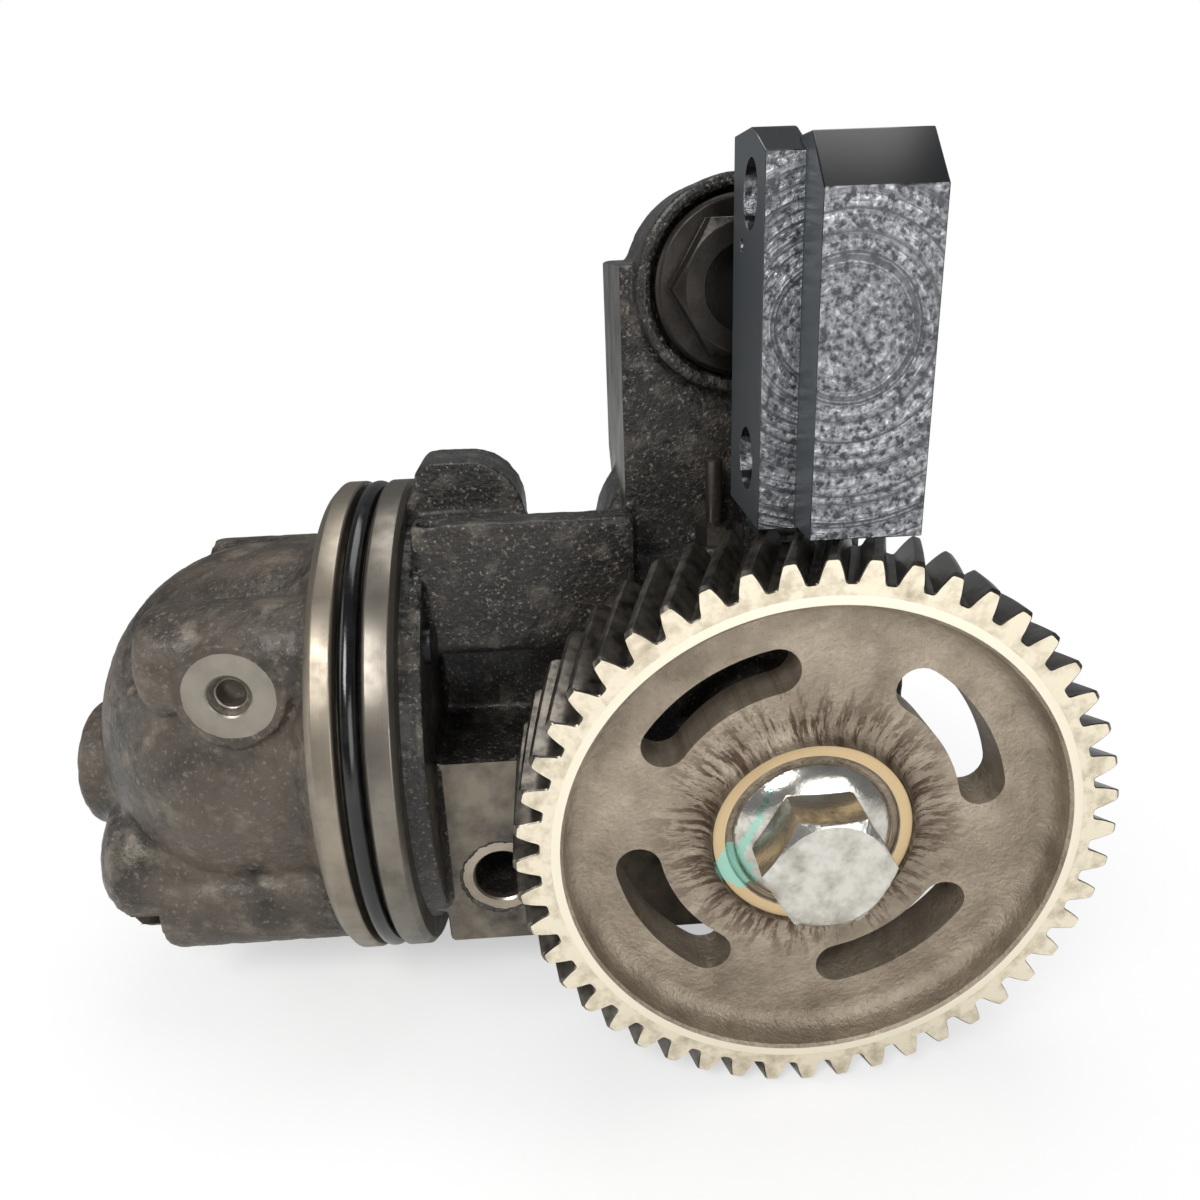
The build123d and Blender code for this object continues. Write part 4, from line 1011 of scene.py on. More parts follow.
def places_tree() -> Tree:
    """Tree that sets a copy of an object on each point of a mesh."""
    tree, given, out = new_tree(
        "copies_on_places", [("Piece", "NodeSocketObject"), ("Finish", "NodeSocketMaterial")]
    )
    piece = add_node(tree, Kind.OBJECT_INFO, {"Object": given.outputs["Piece"]})
    points = add_node(tree, Kind.MESH_POINTS, {"Mesh": given.outputs["Geometry"]})
    copies = add_node(tree, Kind.INSTANCES, {"Points": points, "Instance": piece.outputs["Geometry"]})
    close_tree(tree, given, out, copies.outputs[0], merge=False)
    return tree


def add_piece(
    name: str, mesh: bpy.types.Mesh, finish: Finish, body: Body, slot: str, *nodes: str
) -> bpy.types.Object:
    """Finish a piece, set it on its body and let it stand for CAD nodes.

    Args:
        name: the piece's name.
        mesh: its mesh.
        finish: its surface.
        body: the body that it moves with.
        slot: the record's material slot; not used.
        nodes: the CAD nodes that it stands for.

    Returns:
        The piece.
    """
    piece = finished(name, mesh, finish)
    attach(piece, body.value)
    if nodes:
        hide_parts(*nodes)
    log.info("%s: %d faces on %s", name, len(mesh.polygons), body.value)
    return piece


# ---------------------------------------------------------------- sub-assemblies


@cache
def box_mm(node: str) -> tuple[Vector, Vector]:
    """Lowest and highest corner of a CAD node, in millimetres."""
    low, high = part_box(node)
    return low / MM, high / MM


@dataclass
class Axle:
    """The drive gear's axis and ends, read from the frame, in millimetres."""

    x: float
    z: float
    tip_r: float
    front: float

    @classmethod
    def from_frame(cls) -> "Axle":
        """Read the gear's box."""
        low, high = box_mm("drive_gear")
        middle = (low + high) / 2
        return cls(middle.x, middle.z, (high.x - low.x) / 2, low.y)


@dataclass
class DriveGear:
    """The helical gear: toothed ring, and web with its hub and slots."""

    axle: Axle
    mark: PaintMark
    teeth: int = 48
    module: float = 3.0
    helix_deg: float = 20.0
    pressure_deg: float = 20.0
    width: float = 34.0
    tip_chamfer: float = 1.0
    edge_ease: float = 0.3
    rim_inner_r: float = 66.6
    cove_r: float = 5.0
    cove_steps: int = 6
    web_front: float = 9.5
    web_rear: float = 23.5
    hub_r: float = 27.3
    bore_r: float = 23.3
    hub_recess: float = 6.0
    bolt_recess: float = 7.5
    shaft_r: float = 13.52
    hub_rear: float = 36.0
    slots: int = 4
    slot_r: float = 47.5
    slot_width: float = 12.5
    slot_half_span_deg: float = 21.5
    slot_first_deg: float = 33.6
    slices: int = 16
    dedendum: float = 1.25
    root_round: float = 0.9
    tip_round: float = 0.25
    corner: float = 0.3
    backlash_angle: float = 0.0008
    flank_points: int = 7
    seat_overlap: float = 3.2
    rim_edge: float = 0.8
    hub_edge: float = 0.5
    hub_rear_edge: float = 0.6
    slot_lip: float = 1.3
    slot_steps: int = 24
    end_steps: int = 12
    cutter_past: float = 6.0

    def build(self) -> None:
        """Make both pieces; together they stand for the CAD gear."""
        ring = ToothSteel("hardened_tooth_steel", self.centre())
        add_piece("gear_teeth", self.tooth_ring(ring), ring, Body.DRIVE, "gear_steel")
        web = GearWeb(
            "cast_gear_web",
            self.centre(),
            self.rim_inner_r,
            self.hub_r,
            self.bore_r,
            self.axle.front,
            self.axle.front + self.hub_recess,
            self.mark,
        )
        add_piece("gear_web", self.web_mesh(), web, Body.DRIVE, "gear_steel", "drive_gear")

    def centre(self) -> tuple[float, float, float]:
        """A point of the gear's axis."""
        return (self.axle.x, 0.0, self.axle.z)

    def pitch_r(self) -> float:
        """Radius of the pitch circle."""
        return self.module / math.cos(math.radians(self.helix_deg)) * self.teeth / 2

    def tooth_ring(self, finish: Finish) -> bpy.types.Mesh:
        """Set the sector of one tooth round the axis, and join the sectors to a ring."""
        values = {
            "Copies": self.teeth,
            "Step": -math.tau / self.teeth,
            "Centre": (self.axle.x * MM, 0.0, self.axle.z * MM),
            "Finish": finish.material(),
        }
        return run_tree(ring_tree(), self.sector(), values)

    def outline(self, inset: float, top: float) -> Outline:
        """One tooth in the transverse plane, from the middle of one gap to the next.

        Args:
            inset: how far the outline stands back.
            top: the greatest radius.

        Returns:
            (radius, angle) points.
        """
        pitch_r = self.pitch_r()
        root_r = pitch_r - self.dedendum * self.module - inset
        tip_r = pitch_r + self.module
        pressure = math.atan(
            math.tan(math.radians(self.pressure_deg)) / math.cos(math.radians(self.helix_deg))
        )
        base_r = pitch_r * math.cos(pressure)
        half_at_pitch = (math.pi / self.teeth) / 2 - self.backlash_angle

        def half_angle(r: float) -> float:
            """Half the tooth's angle at a radius, by the involute."""
            turn = math.acos(min(1.0, base_r / r))
            lead = math.tan(pressure) - pressure - (math.tan(turn) - turn)
            return half_at_pitch + lead - inset / r

        foot_r = root_r + self.root_round
        last = self.flank_points - 1
        flank = [(foot_r + (tip_r - self.tip_round - foot_r) * i / last) for i in range(self.flank_points)]
        side = [(r, half_angle(r)) for r in flank]
        gap = math.pi / self.teeth
        foot = [
            (root_r, gap),
            (root_r, half_angle(foot_r) + self.root_round / root_r),
            (root_r + self.tip_round, half_angle(foot_r) + self.corner / root_r),
        ]
        tip = [(tip_r, half_angle(tip_r) - self.corner / tip_r)]
        half = foot + side + tip
        whole = [(r, -a) for r, a in half] + [(tip_r, 0.0)] + [(r, a) for r, a in reversed(half)]
        return [(min(r, top), a) for r, a in whole]

    def sector(self) -> bpy.types.Mesh:
        """One tooth with its share of the ring, about the origin, open where its neighbours join."""
        low_r = self.rim_inner_r + self.seat_overlap
        twist = self.width * math.tan(math.radians(self.helix_deg)) / self.pitch_r()
        ends = [0.0, self.edge_ease, self.tip_chamfer]
        middle = [
            self.tip_chamfer + (self.width - 2 * self.tip_chamfer) * i / self.slices
            for i in range(1, self.slices)
        ]
        depths = ends + middle + [self.width - d for d in reversed(ends)]
        rows = []
        for depth in depths:
            from_end = min(depth, self.width - depth)
            inset = max(0.0, self.edge_ease - from_end)
            top = self.axle.tip_r - max(0.0, self.tip_chamfer - from_end)
            turn = -twist * depth / self.width
            edge = math.pi / self.teeth
            points = [(low_r, -edge)] + self.outline(inset, top) + [(low_r, edge), (low_r, 0.0)]
            y = self.axle.front + depth
            rows.append([Vector((r * math.cos(a + turn), y, r * math.sin(a + turn))) * MM for r, a in points])
        sides = frozenset({0, len(rows[0]) - 3})
        return skin(rows, ring=False, open_sides=sides)

    def web_mesh(self) -> bpy.types.Mesh:
        """Turn the web and hub, then cut the four curved slots and round their lips."""
        front = self.axle.front
        outer = self.rim_inner_r + self.seat_overlap
        rim = self.rim_inner_r

        def cove(r: float, y: float, out: int, rear: int) -> Outline:
            """The round from a wall at radius r to the web's face at y; out and rear are 1 or -1."""
            turns = [math.pi / 2 * step / self.cove_steps for step in range(self.cove_steps + 1)]
            size = self.cove_r
            return [(r + out * size * (1 - math.sin(t)), y + rear * size * (1 - math.cos(t))) for t in turns]

        face, back, rear = front + self.web_front, front + self.web_rear, front + self.width
        profile = (
            [(outer, front), (rim + self.rim_edge, front), (rim, front + self.rim_edge)]
            + list(reversed(cove(rim, face, -1, -1)))
            + cove(self.hub_r, face, 1, -1)
            + [
                (self.hub_r, front + self.hub_recess + self.hub_edge),
                (self.hub_r - self.hub_edge, front + self.hub_recess),
                (self.bore_r + self.corner, front + self.hub_recess),
                (self.bore_r, front + self.hub_recess + self.corner),
                (self.bore_r, front + self.bolt_recess),
                (self.shaft_r, front + self.bolt_recess),
                (self.shaft_r, front + self.hub_rear),
                (self.hub_r - self.hub_rear_edge, front + self.hub_rear),
                (self.hub_r, front + self.hub_rear - self.hub_rear_edge),
            ]
            + list(reversed(cove(self.hub_r, back, 1, 1)))
            + cove(rim, back, -1, 1)
            + [(rim, rear - self.rim_edge), (rim + self.rim_edge, rear), (outer, rear)]
        )
        web = lathe(profile, about_y(self.axle.x, self.axle.z), 192)
        cutters = [self.slot_cutter(self.slot_first_deg + i * 360 / self.slots) for i in range(self.slots)]
        holder = bpy.data.collections.new("slot_cutters")
        bpy.context.scene.collection.children.link(holder)
        for mesh in cutters:
            holder.objects.link(bpy.data.objects.new("slot_cutter", mesh))
        cut = {"operand_type": "COLLECTION", "collection": holder, "solver": "EXACT"}
        result = with_modifiers(web, [("BOOLEAN", cut), bevel(self.slot_lip, 3, 50)])
        for cutter in list(holder.objects):
            bpy.data.objects.remove(cutter)
        bpy.data.collections.remove(holder)
        return result

    def slot_cutter(self, middle_deg: float) -> bpy.types.Mesh:
        """A bar bent along the slots' circle, with round ends, longer than the web is thick."""
        half, end_r = math.radians(self.slot_half_span_deg), self.slot_width / 2
        middle = math.radians(middle_deg)
        points = []
        for side, start in ((1, middle - half), (-1, middle + half)):
            for step in range(self.slot_steps + 1):
                angle = start + side * 2 * half * step / self.slot_steps
                r = self.slot_r + side * end_r
                points.append(Vector((r * math.cos(angle), r * math.sin(angle))))
            angle = start + side * 2 * half
            tip = Vector((math.cos(angle), math.sin(angle))) * self.slot_r
            out = Vector((math.cos(angle), math.sin(angle))) * side
            along = Vector((-math.sin(angle), math.cos(angle))) * side
            for step in range(1, self.end_steps):
                swing = math.pi * step / self.end_steps
                points.append(tip + (out * math.cos(swing) + along * math.sin(swing)) * end_r)
        levels = (
            self.axle.front + self.web_front - self.cutter_past,
            self.axle.front + self.web_rear + self.cutter_past,
        )
        x, z = self.axle.x, self.axle.z
        return skin([[Vector((x + p.x, y, z + p.y)) * MM for p in points] for y in levels], ring=False)


@dataclass
class HousingCasting:
    """The housing: soft cast body with crisp turned land and milled seats."""

    land_half: float = 4.5
    spigot_r: float = 79.0
    ring_depth: float = 8.0
    groove_r: float = 73.1
    groove_left: float = -12.3
    neck_right: float = 10.5
    land_edge: float = 1.0
    land_band: float = 1.6
    voxel: float = 1.3
    pocket_r: float = 28.1
    bore_spare: float = 0.1
    shaft_spare: float = 0.3
    shaft_passage: tuple[float, float] = (-24.0, 2.0)
    valve_past: float = 12.0
    flat_reach: float = 0.45
    arm_reach: float = 0.4
    arm_foot_z: float = 60.0
    rear_lands_y: float = 31.0
    tuck_past: float = 1.2
    tuck_depth: float = 3.0
    land_sink: float = 2.5
    groove_sink: float = 1.0
    side_sink: float = 0.6
    round_bores: float = 2.0
    shaft_reach: float = 25.0
    groove_depth: float = 4.0
    seat_back: float = 3.0
    lump_depth: float = 0.45
    lump_size: float = 5.0
    pad_front: float = -52.5
    arm_left: float = 72.5
    hole: tuple[float, float] = (27.9, -35.8)
    hole_r: float = 8.75
    seat_r: float = 13.7
    seat_depth: float = 0.8

    def build(self) -> None:
        """Make the casting, its land and the seat of the mounting hole."""
        iron = CastIron(
            "oily_sand_cast_iron",
            cut_faces=(
                CutFace(1, -1.0, self.pad_front, "#7f7566"),
                CutFace(0, -1.0, self.arm_left, "#6c6b64"),
            ),
        )
        mesh = cast_copy("pump_body", self.voxel, 3)
        self.clear_bores(mesh)
        self.tuck_land(mesh)
        self.flatten(mesh)
        roughen(mesh, self.lump_depth, self.lump_size, self.held)
        add_piece("housing_casting", mesh, iron, Body.HOUSING, "cast_body", "pump_body")
        turned = WorkedMetal(
            "turned_spigot_land", base="#7a746b", tarnish="#211e1b", rough=0.36, turned=Turned.ABOUT_X
        )
        half, depth = self.land_half, self.ring_depth
        land = [
            (self.spigot_r - depth, -half),
            (self.spigot_r - self.land_edge, -half),
            (self.spigot_r, -half + self.land_edge),
            (self.spigot_r, half - self.land_band),
            (self.spigot_r - self.land_band, half),
            (self.spigot_r - depth, half),
        ]
        ring = lathe(eased(land, EDGE_MM), about_x(), 256)
        add_piece("spigot_land", ring, turned, Body.HOUSING, "cast_body")
        groove = [
            (self.groove_r - self.groove_depth, self.groove_left),
            (self.groove_r, self.groove_left),
            (self.groove_r, -half + 0.5),
            (self.groove_r - self.groove_depth, -half + 0.5),
        ]
        add_piece("seal_groove", lathe(groove, about_x(), 192), turned, Body.HOUSING, "cast_body")
        seat_y = self.pad_front + self.seat_depth
        seat = [
            (self.hole_r, seat_y + self.seat_back),
            (self.hole_r, seat_y + 0.5),
            (self.hole_r + 0.6, seat_y - 0.1),
            (self.seat_r, seat_y - 0.1),
            (self.seat_r, seat_y + self.seat_back),
        ]
        faced = WorkedMetal(
            "faced_bolt_seat",
            base="#a89d8e",
            tarnish="#5a5147",
            turned=Turned.ABOUT_Y,
            centre_mm=(self.hole[0], 0.0, self.hole[1]),
        )
        add_piece(
            "mounting_hole_seat", lathe(seat, about_y(*self.hole), 96), faced, Body.HOUSING, "cast_body"
        )

    def clear_bores(self, mesh: bpy.types.Mesh) -> None:
        """Keep the softened pocket, shaft passage and valve bore clear of what moves in them."""
        for node in ("pump_driving_gear", "idler_gear"):
            low, high = box_mm(node)
            middle, r = (low + high) / 2, (high.z - low.z) / 2 + self.bore_spare
            clear_bore(mesh, middle.x, middle.z, max(r, self.pocket_r), low.y - 0.2, high.y + 1)
        low, high = box_mm("drive_shaft")
        r = (high.x - low.x) / 2 + self.shaft_spare
        clear_bore(mesh, (low.x + high.x) / 2, (low.z + high.z) / 2, r, *self.shaft_passage)
        low, high = box_mm("relief_piston")
        r = (high.x - low.x) / 2
        clear_bore(mesh, (low.x + high.x) / 2, (low.z + high.z) / 2, r, low.y - self.valve_past, high.y - 0.5)

    def tuck_land(self, mesh: bpy.types.Mesh) -> None:
        """Sink the softened land and groove under the crisp rings that stand for them."""
        start, end = self.groove_left + self.side_sink, self.land_half - self.side_sink
        for vertex, here, r in off_axis(mesh):
            if here.x < self.land_half + self.tuck_past and r > self.groove_r - self.tuck_depth:
                on_land = here.x > -self.land_half
                most = self.spigot_r - self.land_sink if on_land else self.groove_r - self.groove_sink
                tuck(vertex, most, start, end)

    def flatten(self, mesh: bpy.types.Mesh) -> None:
        """Bring the milled faces back to their planes."""
        for vertex in mesh.vertices:
            here = vertex.co / MM
            if abs(here.y - self.pad_front) < self.flat_reach:
                vertex.co.y = self.pad_front * MM
            if abs(here.x - self.arm_left) < self.arm_reach and here.z > self.arm_foot_z:
                vertex.co.x = self.arm_left * MM

    def held(self, here: Vector) -> bool:
        """True on milled faces, round the spigot and inside the bores."""
        inside = here.y > self.rear_lands_y or here.y < self.pad_front + 0.6 or here.x < self.neck_right
        on_arm = abs(here.x - self.arm_left) < 0.3
        low, high = box_mm("pump_driving_gear")
        idle_low, _ = box_mm("idler_gear")
        near = self.round_bores
        in_pocket = (
            idle_low.x - near < here.x < high.x + near
            and low.y - self.shaft_reach < here.y
            and abs(here.z) < high.z + near
        )
        plug_low, plug_high = box_mm("relief_plug")
        in_valve = (
            plug_low.x - near < here.x < plug_high.x + near
            and plug_low.z - near < here.z < plug_high.z + near
            and here.y > plug_low.y
        )
        return inside or on_arm or in_pocket or in_valve


@dataclass
class EndCoverCasting:
    """The end cover: soft cast dome with its crisp flange and port seat."""

    face: float = -12.3
    thickness: float = 8.3
    spigot_r: float = 79.0
    chamfer: float = 2.5
    inner_r: float = 68.0
    port: tuple[float, float] = (-43.2, 34.6)
    port_face: float = -59.5
    port_seat_r: float = 14.8
    port_bore_r: float = 6.15
    port_hole_r: float = 4.25
    seat_depth: float = 0.8
    counterbore: float = 2.0
    voxel: float = 1.2
    tuck_past: float = 0.6
    rim_sink: float = 2.0
    side_sink: float = 0.8
    seat_back: float = 4.0
    lump_depth: float = 0.5
    lump_size: float = 7.0

    def build(self) -> None:
        """Make the dome, the flange and the seat of the port."""
        iron = CastIron(
            "sand_cast_cover_iron",
            dark="#2c2721",
            middle="#554c42",
            light="#8f8576",
            grain_mm=1.9,
            depth_mm=0.35,
            rough=0.46,
            glint_strength=0.35,
            oil=0.12,
        )
        mesh = cast_copy("end_cover", self.voxel, 7)
        left = self.face - self.thickness
        for vertex, here, r in off_axis(mesh):
            if here.x > left - self.tuck_past and r > self.inner_r:
                tuck(vertex, self.spigot_r - self.rim_sink, left + self.side_sink, self.face - self.side_sink)
        roughen(mesh, self.lump_depth, self.lump_size, self.held)
        add_piece("end_cover_casting", mesh, iron, Body.HOUSING, "cast_cover", "end_cover")
        flange = [
            (self.inner_r - 3, self.face),
            (self.inner_r - 3, left),
            (self.spigot_r - self.chamfer, left),
            (self.spigot_r, left + self.chamfer),
            (self.spigot_r, self.face - 0.6),
            (self.spigot_r - 0.6, self.face),
        ]
        turned = WorkedMetal(
            "turned_cover_flange", base="#8f8678", tarnish="#4f483e", rough=0.38, turned=Turned.ABOUT_X
        )
        ring = lathe(eased(flange, EDGE_MM), about_x(), 256)
        add_piece("cover_flange", ring, turned, Body.HOUSING, "cast_cover")
        floor = self.port_face + self.seat_depth
        sink = floor + self.counterbore
        seat = [
            (self.port_hole_r, sink + self.seat_back),
            (self.port_hole_r, sink + 0.3),
            (self.port_hole_r + 0.4, sink),
            (self.port_bore_r, sink),
            (self.port_bore_r, floor + 0.3),
            (self.port_bore_r + 0.5, floor - 0.1),
            (self.port_seat_r - 0.3, floor - 0.1),
            (self.port_seat_r, floor + 0.2),
            (self.port_seat_r, floor + self.seat_back),
        ]
        faced = WorkedMetal(
            "faced_port_seat",
            base="#8c867c",
            tarnish="#5f594f",
            rough=0.4,
            turned=Turned.ABOUT_Y,
            centre_mm=(self.port[0], 0.0, self.port[1]),
        )
        add_piece("port_seat", lathe(seat, about_y(*self.port), 96), faced, Body.HOUSING, "cast_cover")

    def held(self, here: Vector) -> bool:
        """True at the flange and round the port."""
        near_port = Vector((here.x - self.port[0], here.z - self.port[1])).length < self.port_seat_r + 0.8
        return here.x > self.face - self.thickness - 1 or (near_port and here.y < self.port_face + 3)


@dataclass
class CapScrews:
    """A group of socket-head screws, one turned screw set at each place of its CAD node."""

    node: str
    axis: int
    sign: float
    thread_r: float
    head_r: float
    head: float
    socket_share: float = 0.45
    core_share: float = 0.02
    top_edge: float = 0.6
    under_edge: float = 0.3
    thread_spare: float = 0.02
    thread_edge: float = 1.0
    finish: Finish = field(
        default_factory=lambda: WorkedMetal(
            "blackened_screw_steel", base="#3a3a3b", tarnish="#1b1a19", metallic=0.85, rough=0.35
        )
    )

    def build(self) -> None:
        """Make one screw and set it at each place."""
        boxes = islands(self.node)
        places = bpy.data.meshes.new("places")
        heads = []
        for low, high in boxes:
            spot = (low + high) / 2
            spot[self.axis] = high[self.axis] if self.sign > 0 else low[self.axis]
            heads.append(spot * MM)
        places.from_pydata(heads, [], [])
        length = boxes[0][1][self.axis] - boxes[0][0][self.axis]
        screw = bpy.data.objects.new("screw", self.screw(length))
        bpy.context.scene.collection.objects.link(screw)
        mesh = run_tree(places_tree(), places, {"Piece": screw, "Finish": self.finish.material()})
        bpy.data.objects.remove(screw)
        add_piece(self.node + "_set", mesh, self.finish, Body.HOUSING, "screws", self.node)

    def screw(self, length: float) -> bpy.types.Mesh:
        """Turn one screw with a hexagon socket, its head's top at the origin."""
        half_flat = math.pi / 6
        socket_r = self.socket_share * self.head_r / math.cos(half_flat)
        inner = socket_r * self.core_share
        profile = [
            (socket_r, 0.0),
            (self.head_r - self.top_edge, 0.0),
            (self.head_r, -self.top_edge),
            (self.head_r, -self.head + self.under_edge),
            (self.head_r - self.under_edge, -self.head),
            (self.thread_r - self.thread_spare, -self.head),
            (self.thread_r - self.thread_spare, -length + self.thread_edge),
            (self.thread_r - self.thread_edge, -length),
            (inner, -length),
            (inner, -self.head / 2),
            (socket_r, -self.head / 2),
        ]

        def place(r: float, along: float, angle: float) -> Vector:
            """A point of the screw, with the socket's radius drawn in to a hexagon."""
            if r == socket_r:
                local = (angle + half_flat) % (2 * half_flat) - half_flat
                r *= math.cos(half_flat) / math.cos(local)
            side = Vector((r * math.cos(angle), r * math.sin(angle)))
            along *= self.sign
            point = (along, side.x, side.y) if self.axis == 0 else (side.x, along, side.y)
            return Vector(point) * MM

        return lathe(profile, place, 48)


@dataclass
class MountingBlock:
    """The black block with its side plate: milled faces with broken edges."""

    node: str = "mounting_block"
    edge: float = 0.7

    def build(self) -> None:
        """Ease its edges and paint it."""
        # Black paint whose milled front has bright grain, part bare metal and part painted glint.
        paint = BlackPaint("black_paint_bare_and_glint", arcs_mm=(117.3, 0.0, 129.5))
        mesh = eased_copy(self.node, self.edge)
        add_piece("block_and_plate", mesh, paint, Body.HOUSING, "black_paint", self.node)


@dataclass
class TurnedParts:
    """Bolt and plug: pieces with a hexagon, whose edges are broken."""

    mark: PaintMark
    bolt_edge: float = 0.35
    plug_edge: float = 0.4

    def build(self) -> None:
        """Ease both and dress them."""
        zinc = ZincPlate("bright_zinc_plate", self.mark)
        bolt = eased_copy("gear_bolt", self.bolt_edge)
        add_piece("flange_bolt", bolt, zinc, Body.DRIVE, "zinc_bolt", "gear_bolt")
        dull = WorkedMetal(
            "dull_plug_steel", base="#2b2723", tarnish="#0f0d0c", metallic=0.7, rough=0.36, depth_mm=0.04
        )
        plug = eased_copy("relief_plug", self.plug_edge)
        add_piece("hexagon_plug", plug, dull, Body.HOUSING, "plug_steel", "relief_plug")


@dataclass
class ReliefSpring:
    """The valve's spring, which shortens from its plug as the piston opens."""

    travel: float = 10.0

    def build(self) -> None:
        """Copy the coil and give the piece its own mesh."""
        wire = WorkedMetal("oil_tempered_wire", base="#4b4744", tarnish="#25211e", rough=0.3)
        mesh = merged("relief_spring")
        coil = add_piece("valve_coil", mesh, wire, Body.HOUSING, "spring_steel", "relief_spring")
        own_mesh(coil)


@dataclass
class PlainNodes:
    """CAD nodes that are shown as they are, each with its own finish."""

    finishes: dict[str, tuple[str, Finish]]

    def build(self) -> None:
        """Give each node its finish."""
        for node, (slot, finish) in self.finishes.items():
            piece = frame["nodes"][node]
            piece.data.materials.clear()
            piece.data.materials.append(finish.material())
            log.info("%s: %s", node, finish.name)


# ---------------------------------------------------------------- studio


@dataclass(frozen=True)
class SoftBox:
    """A rectangular lamp: its place and size in metres and its power in watts."""

    name: str
    place: tuple[float, float, float]
    size: tuple[float, float]
    watts: float

    def hang(self, target: Vector) -> None:
        """Hang it so that it looks at the target."""
        data = bpy.data.lights.new(self.name, "AREA")
        data.shape = "RECTANGLE"
        data.size, data.size_y = self.size
        data.energy = self.watts
        lamp = bpy.data.objects.new(self.name, data)
        bpy.context.scene.collection.objects.link(lamp)
        lamp.location = self.place
        lamp.rotation_mode = "QUATERNION"
        lamp.rotation_quaternion = (target - Vector(self.place)).to_track_quat("-Z", "Y")


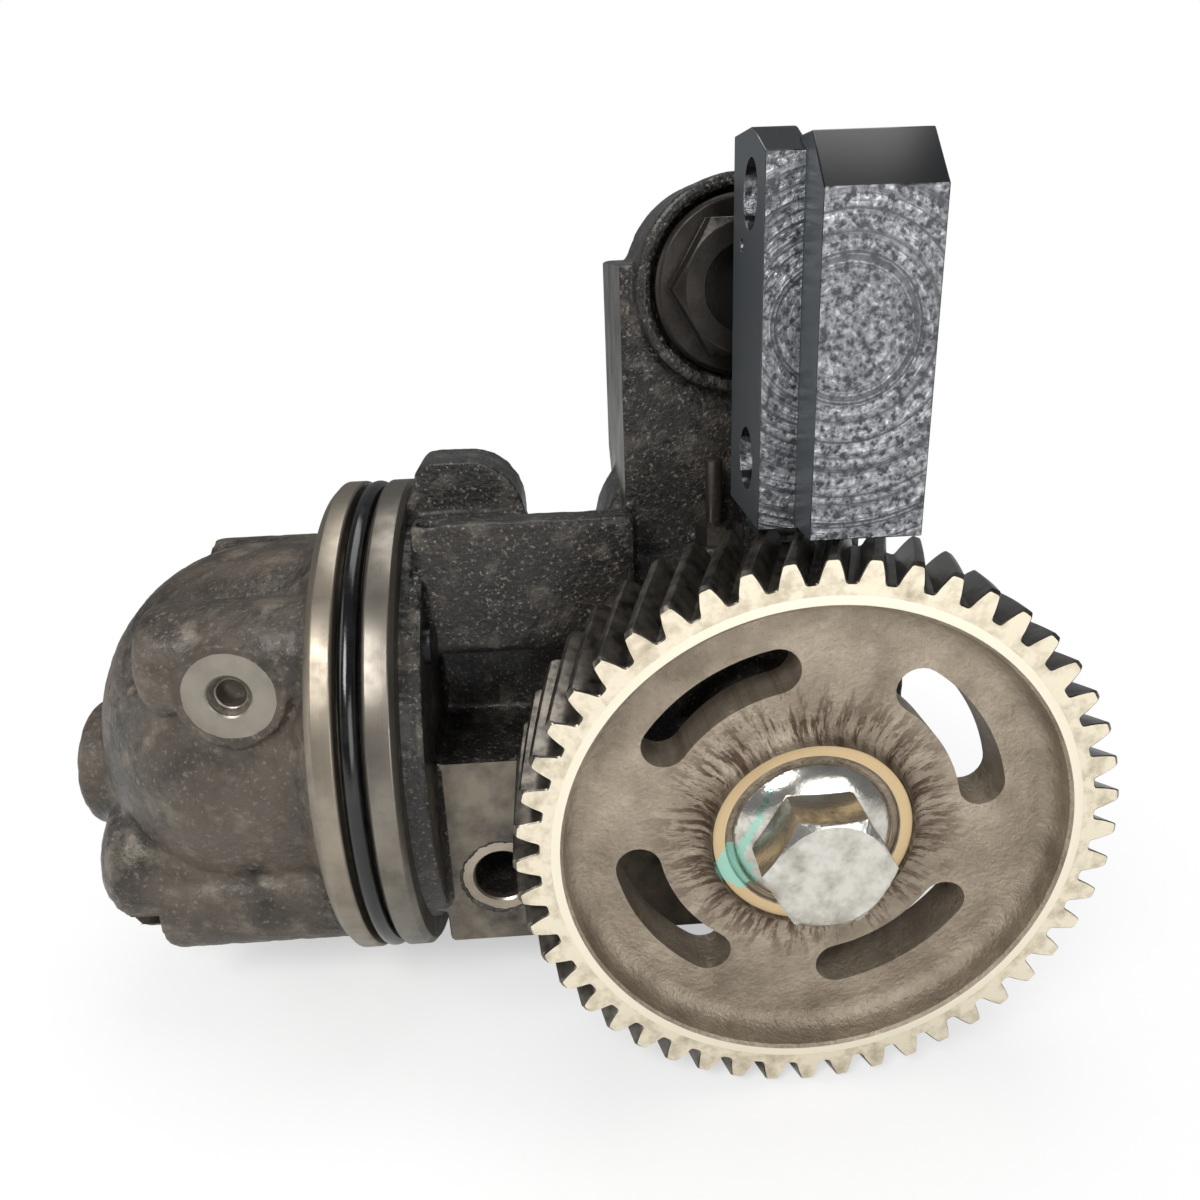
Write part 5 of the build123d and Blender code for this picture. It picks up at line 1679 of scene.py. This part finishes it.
@dataclass
class Studio:
    """Camera, soft lights, floor and a white background."""

    eye_mm: tuple[float, float, float] = (51.3, -304.1, 148.4)
    yaw_deg: float = 2.41
    pitch_deg: float = 20.31
    roll_deg: float = 2.25
    focal_px: float = 950.8
    image_px: float = 1200.0
    middle: tuple[float, float, float] = (0.05, -0.02, 0.03)
    boxes: tuple[SoftBox, ...] = (
        SoftBox("key_box", (-0.35, -0.75, 0.75), (0.45, 0.45), 8.5),
        SoftBox("front_box", (0.45, -0.95, 0.25), (0.7, 0.5), 4.0),
        SoftBox("top_box", (0.1, 0.25, 0.95), (0.8, 0.6), 5.0),
        SoftBox("left_box", (-0.9, -0.1, 0.3), (0.4, 0.8), 2.0),
    )
    floor_half: float = 3.0
    floor_gap: float = 0.0005
    shadow_mm: tuple[float, float] = (90.0, 260.0)

    def camera(self) -> None:
        """Make the camera first, at the place that sees the pump as it should."""
        cy, sy = math.cos(math.radians(self.yaw_deg)), math.sin(math.radians(self.yaw_deg))
        cp, sp = math.cos(math.radians(self.pitch_deg)), math.sin(math.radians(self.pitch_deg))
        cr, sr = math.cos(math.radians(self.roll_deg)), math.sin(math.radians(self.roll_deg))
        ahead = Vector((sy * cp, cy * cp, -sp))
        right = Vector((cy, -sy, 0.0))
        down = ahead.cross(right)
        across = right * cr + down * sr
        below = down * cr - right * sr
        data = bpy.data.cameras.new("camera")
        data.sensor_width = 36.0
        data.lens = data.sensor_width * self.focal_px / self.image_px
        data.clip_start, data.clip_end = 0.01, 20.0
        camera = bpy.data.objects.new("camera", data)
        bpy.context.scene.collection.objects.link(camera)
        turn = Matrix((across, -below, -ahead)).transposed().to_4x4()
        camera.matrix_world = Matrix.Translation(Vector(self.eye_mm) * MM) @ turn
        bpy.context.scene.camera = camera

    def lights(self) -> None:
        """Hang the boxes and light the world behind them."""
        for box in self.boxes:
            box.hang(Vector(self.middle))
        world = bpy.data.worlds.new("studio")
        world.use_nodes = True
        bpy.context.scene.world = world
        tree = world.node_tree
        tree.nodes.clear()
        rays = add_node(tree, Kind.LIGHT_PATH)
        soft = add_node(tree, Kind.BACKGROUND, {"Color": linear("#dfe2e6"), "Strength": 0.24})
        white = add_node(tree, Kind.BACKGROUND, {"Color": linear("#ffffff"), "Strength": 1.0})
        seen = add_node(tree, Kind.MIX_SHADER, {0: rays.outputs["Is Camera Ray"], 1: soft, 2: white})
        add_node(tree, Kind.WORLD, {"Surface": seen})

    def floor(self, low_z: float) -> None:
        """Lay a pale floor under the pump."""
        mesh = bpy.data.meshes.new("floor")
        half, z = self.floor_half, low_z - self.floor_gap
        corners = [(-half, -half, z), (half, -half, z), (half, half, z), (-half, half, z)]
        mesh.from_pydata(corners, [], [(0, 1, 2, 3)])
        piece = bpy.data.objects.new("floor", mesh)
        bpy.context.scene.collection.objects.link(piece)
        made = bpy.data.materials.new("pale_floor")
        made.use_nodes = True
        tree = made.node_tree
        tree.nodes.clear()
        speck = patches(tree, add_node(tree, Kind.COORDINATES).outputs["Object"], 40.0, 0.2, 0.8)
        colour = add_node(tree, Kind.MIX, {0: speck, 6: linear("#fbfbfa"), 7: linear("#f6f6f5")})
        board = add_node(tree, Kind.PRINCIPLED, {"Base Color": colour, "Roughness": 0.9})
        rays = add_node(tree, Kind.LIGHT_PATH)
        coords = add_node(tree, Kind.COORDINATES).outputs["Object"]
        away = distance_from(tree, coords, (40.0, 0.0, 0.0), (1, 1, 0))
        near, far = self.shadow_mm
        fade = add_node(
            tree, Kind.RANGE, {"Value": away, "From Min": near, "From Max": far, "To Min": 0.5, "To Max": 1.0}
        )
        share = add_node(tree, Kind.TIMES, {0: fade, 1: rays.outputs["Is Camera Ray"]})
        paper = add_node(tree, Kind.EMISSION, {"Color": linear("#ffffff"), "Strength": 1.0})
        seen = add_node(tree, Kind.MIX_SHADER, {0: share, 1: board, 2: paper})
        add_node(tree, Kind.MATERIAL, {"Surface": seen})
        mesh.materials.append(made)
        piece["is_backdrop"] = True


def plain_finishes() -> dict[str, tuple[str, Finish]]:
    """Slot and finish of each CAD node that is shown as it is."""
    ground = WorkedMetal("ground_shaft_steel", base="#a9a59d", tarnish="#6c655b")
    gear = WorkedMetal("hobbed_pump_gear_steel", base="#8f8a82", tarnish="#4f483f", rough=0.3)
    bronze = WorkedMetal("bearing_bronze", base="#b98a52", tarnish="#7a5630", rough=0.34)
    rear = CastIron("sand_cast_rear_cover", dark="#2a2621", middle="#4d463d", light="#857c6f", glint_strength=0.3)
    steel_nodes = (
        "rear_cover_dowels",
        "drive_shaft",
        "idler_shaft",
        "drive_key",
        "pump_gear_key",
        "thrust_washer",
        "relief_piston",
    )
    bushes = [f"{shaft}_{end}_bush" for shaft in ("drive", "idler") for end in ("front", "rear")]
    return {
        **dict.fromkeys(steel_nodes, ("steel", ground)),
        **dict.fromkeys(("pump_driving_gear", "idler_gear"), ("steel", gear)),
        **dict.fromkeys(bushes, ("bronze", bronze)),
        "rear_cover": ("cast_cover", rear),
        "spigot_o_ring": ("o_ring", Moulded("glossy_nitrile", rough=0.16)),
        "rear_cover_gasket": (
            "gasket",
            Moulded("fibre_gasket_sheet", base="#4a4236", worn="#6b6150", rough=0.75, depth_mm=0.05),
        ),
        "relief_plug_seal": (
            "copper",
            WorkedMetal("annealed_copper", base="#b5714c", tarnish="#6f4029", rough=0.35),
        ),
        "bleed_screw": (
            "plug_steel",
            WorkedMetal("dull_bleed_screw_steel", base="#57504a", tarnish="#2a2622", metallic=0.8),
        ),
    }


def main() -> None:
    """Build the studio and the pump."""
    logging.basicConfig(level=logging.INFO, format="%(name)s %(message)s")
    scene = bpy.context.scene
    scene.view_settings.view_transform = "Standard"
    cad_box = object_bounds()
    studio = Studio()
    studio.camera()
    studio.lights()
    studio.floor(cad_box[0].z)
    axle = Axle.from_frame()
    run = tuple((94.2 + 0.85 * step, -3.0 + 2.02 * step, 1.25 - 0.06 * step) for step in range(10))
    mark = PaintMark(((93.2, -8.5, 4.6), (95.6, -12.0, 3.6), (93.4, -4.4, 2.8)) + run)
    DriveGear(axle, mark).build()
    TurnedParts(mark).build()
    HousingCasting().build()
    EndCoverCasting().build()
    MountingBlock().build()
    CapScrews("end_cover_screws", axis=0, sign=-1.0, thread_r=6.0, head_r=9.0, head=12.0).build()
    CapScrews("rear_cover_screws", axis=1, sign=1.0, thread_r=4.0, head_r=6.5, head=8.0).build()
    CapScrews("block_screws", axis=1, sign=1.0, thread_r=5.0, head_r=8.0, head=10.0).build()
    ReliefSpring().build()
    PlainNodes(plain_finishes()).build()
    log.info("boxes written")


if __name__ == "__main__":
    main()
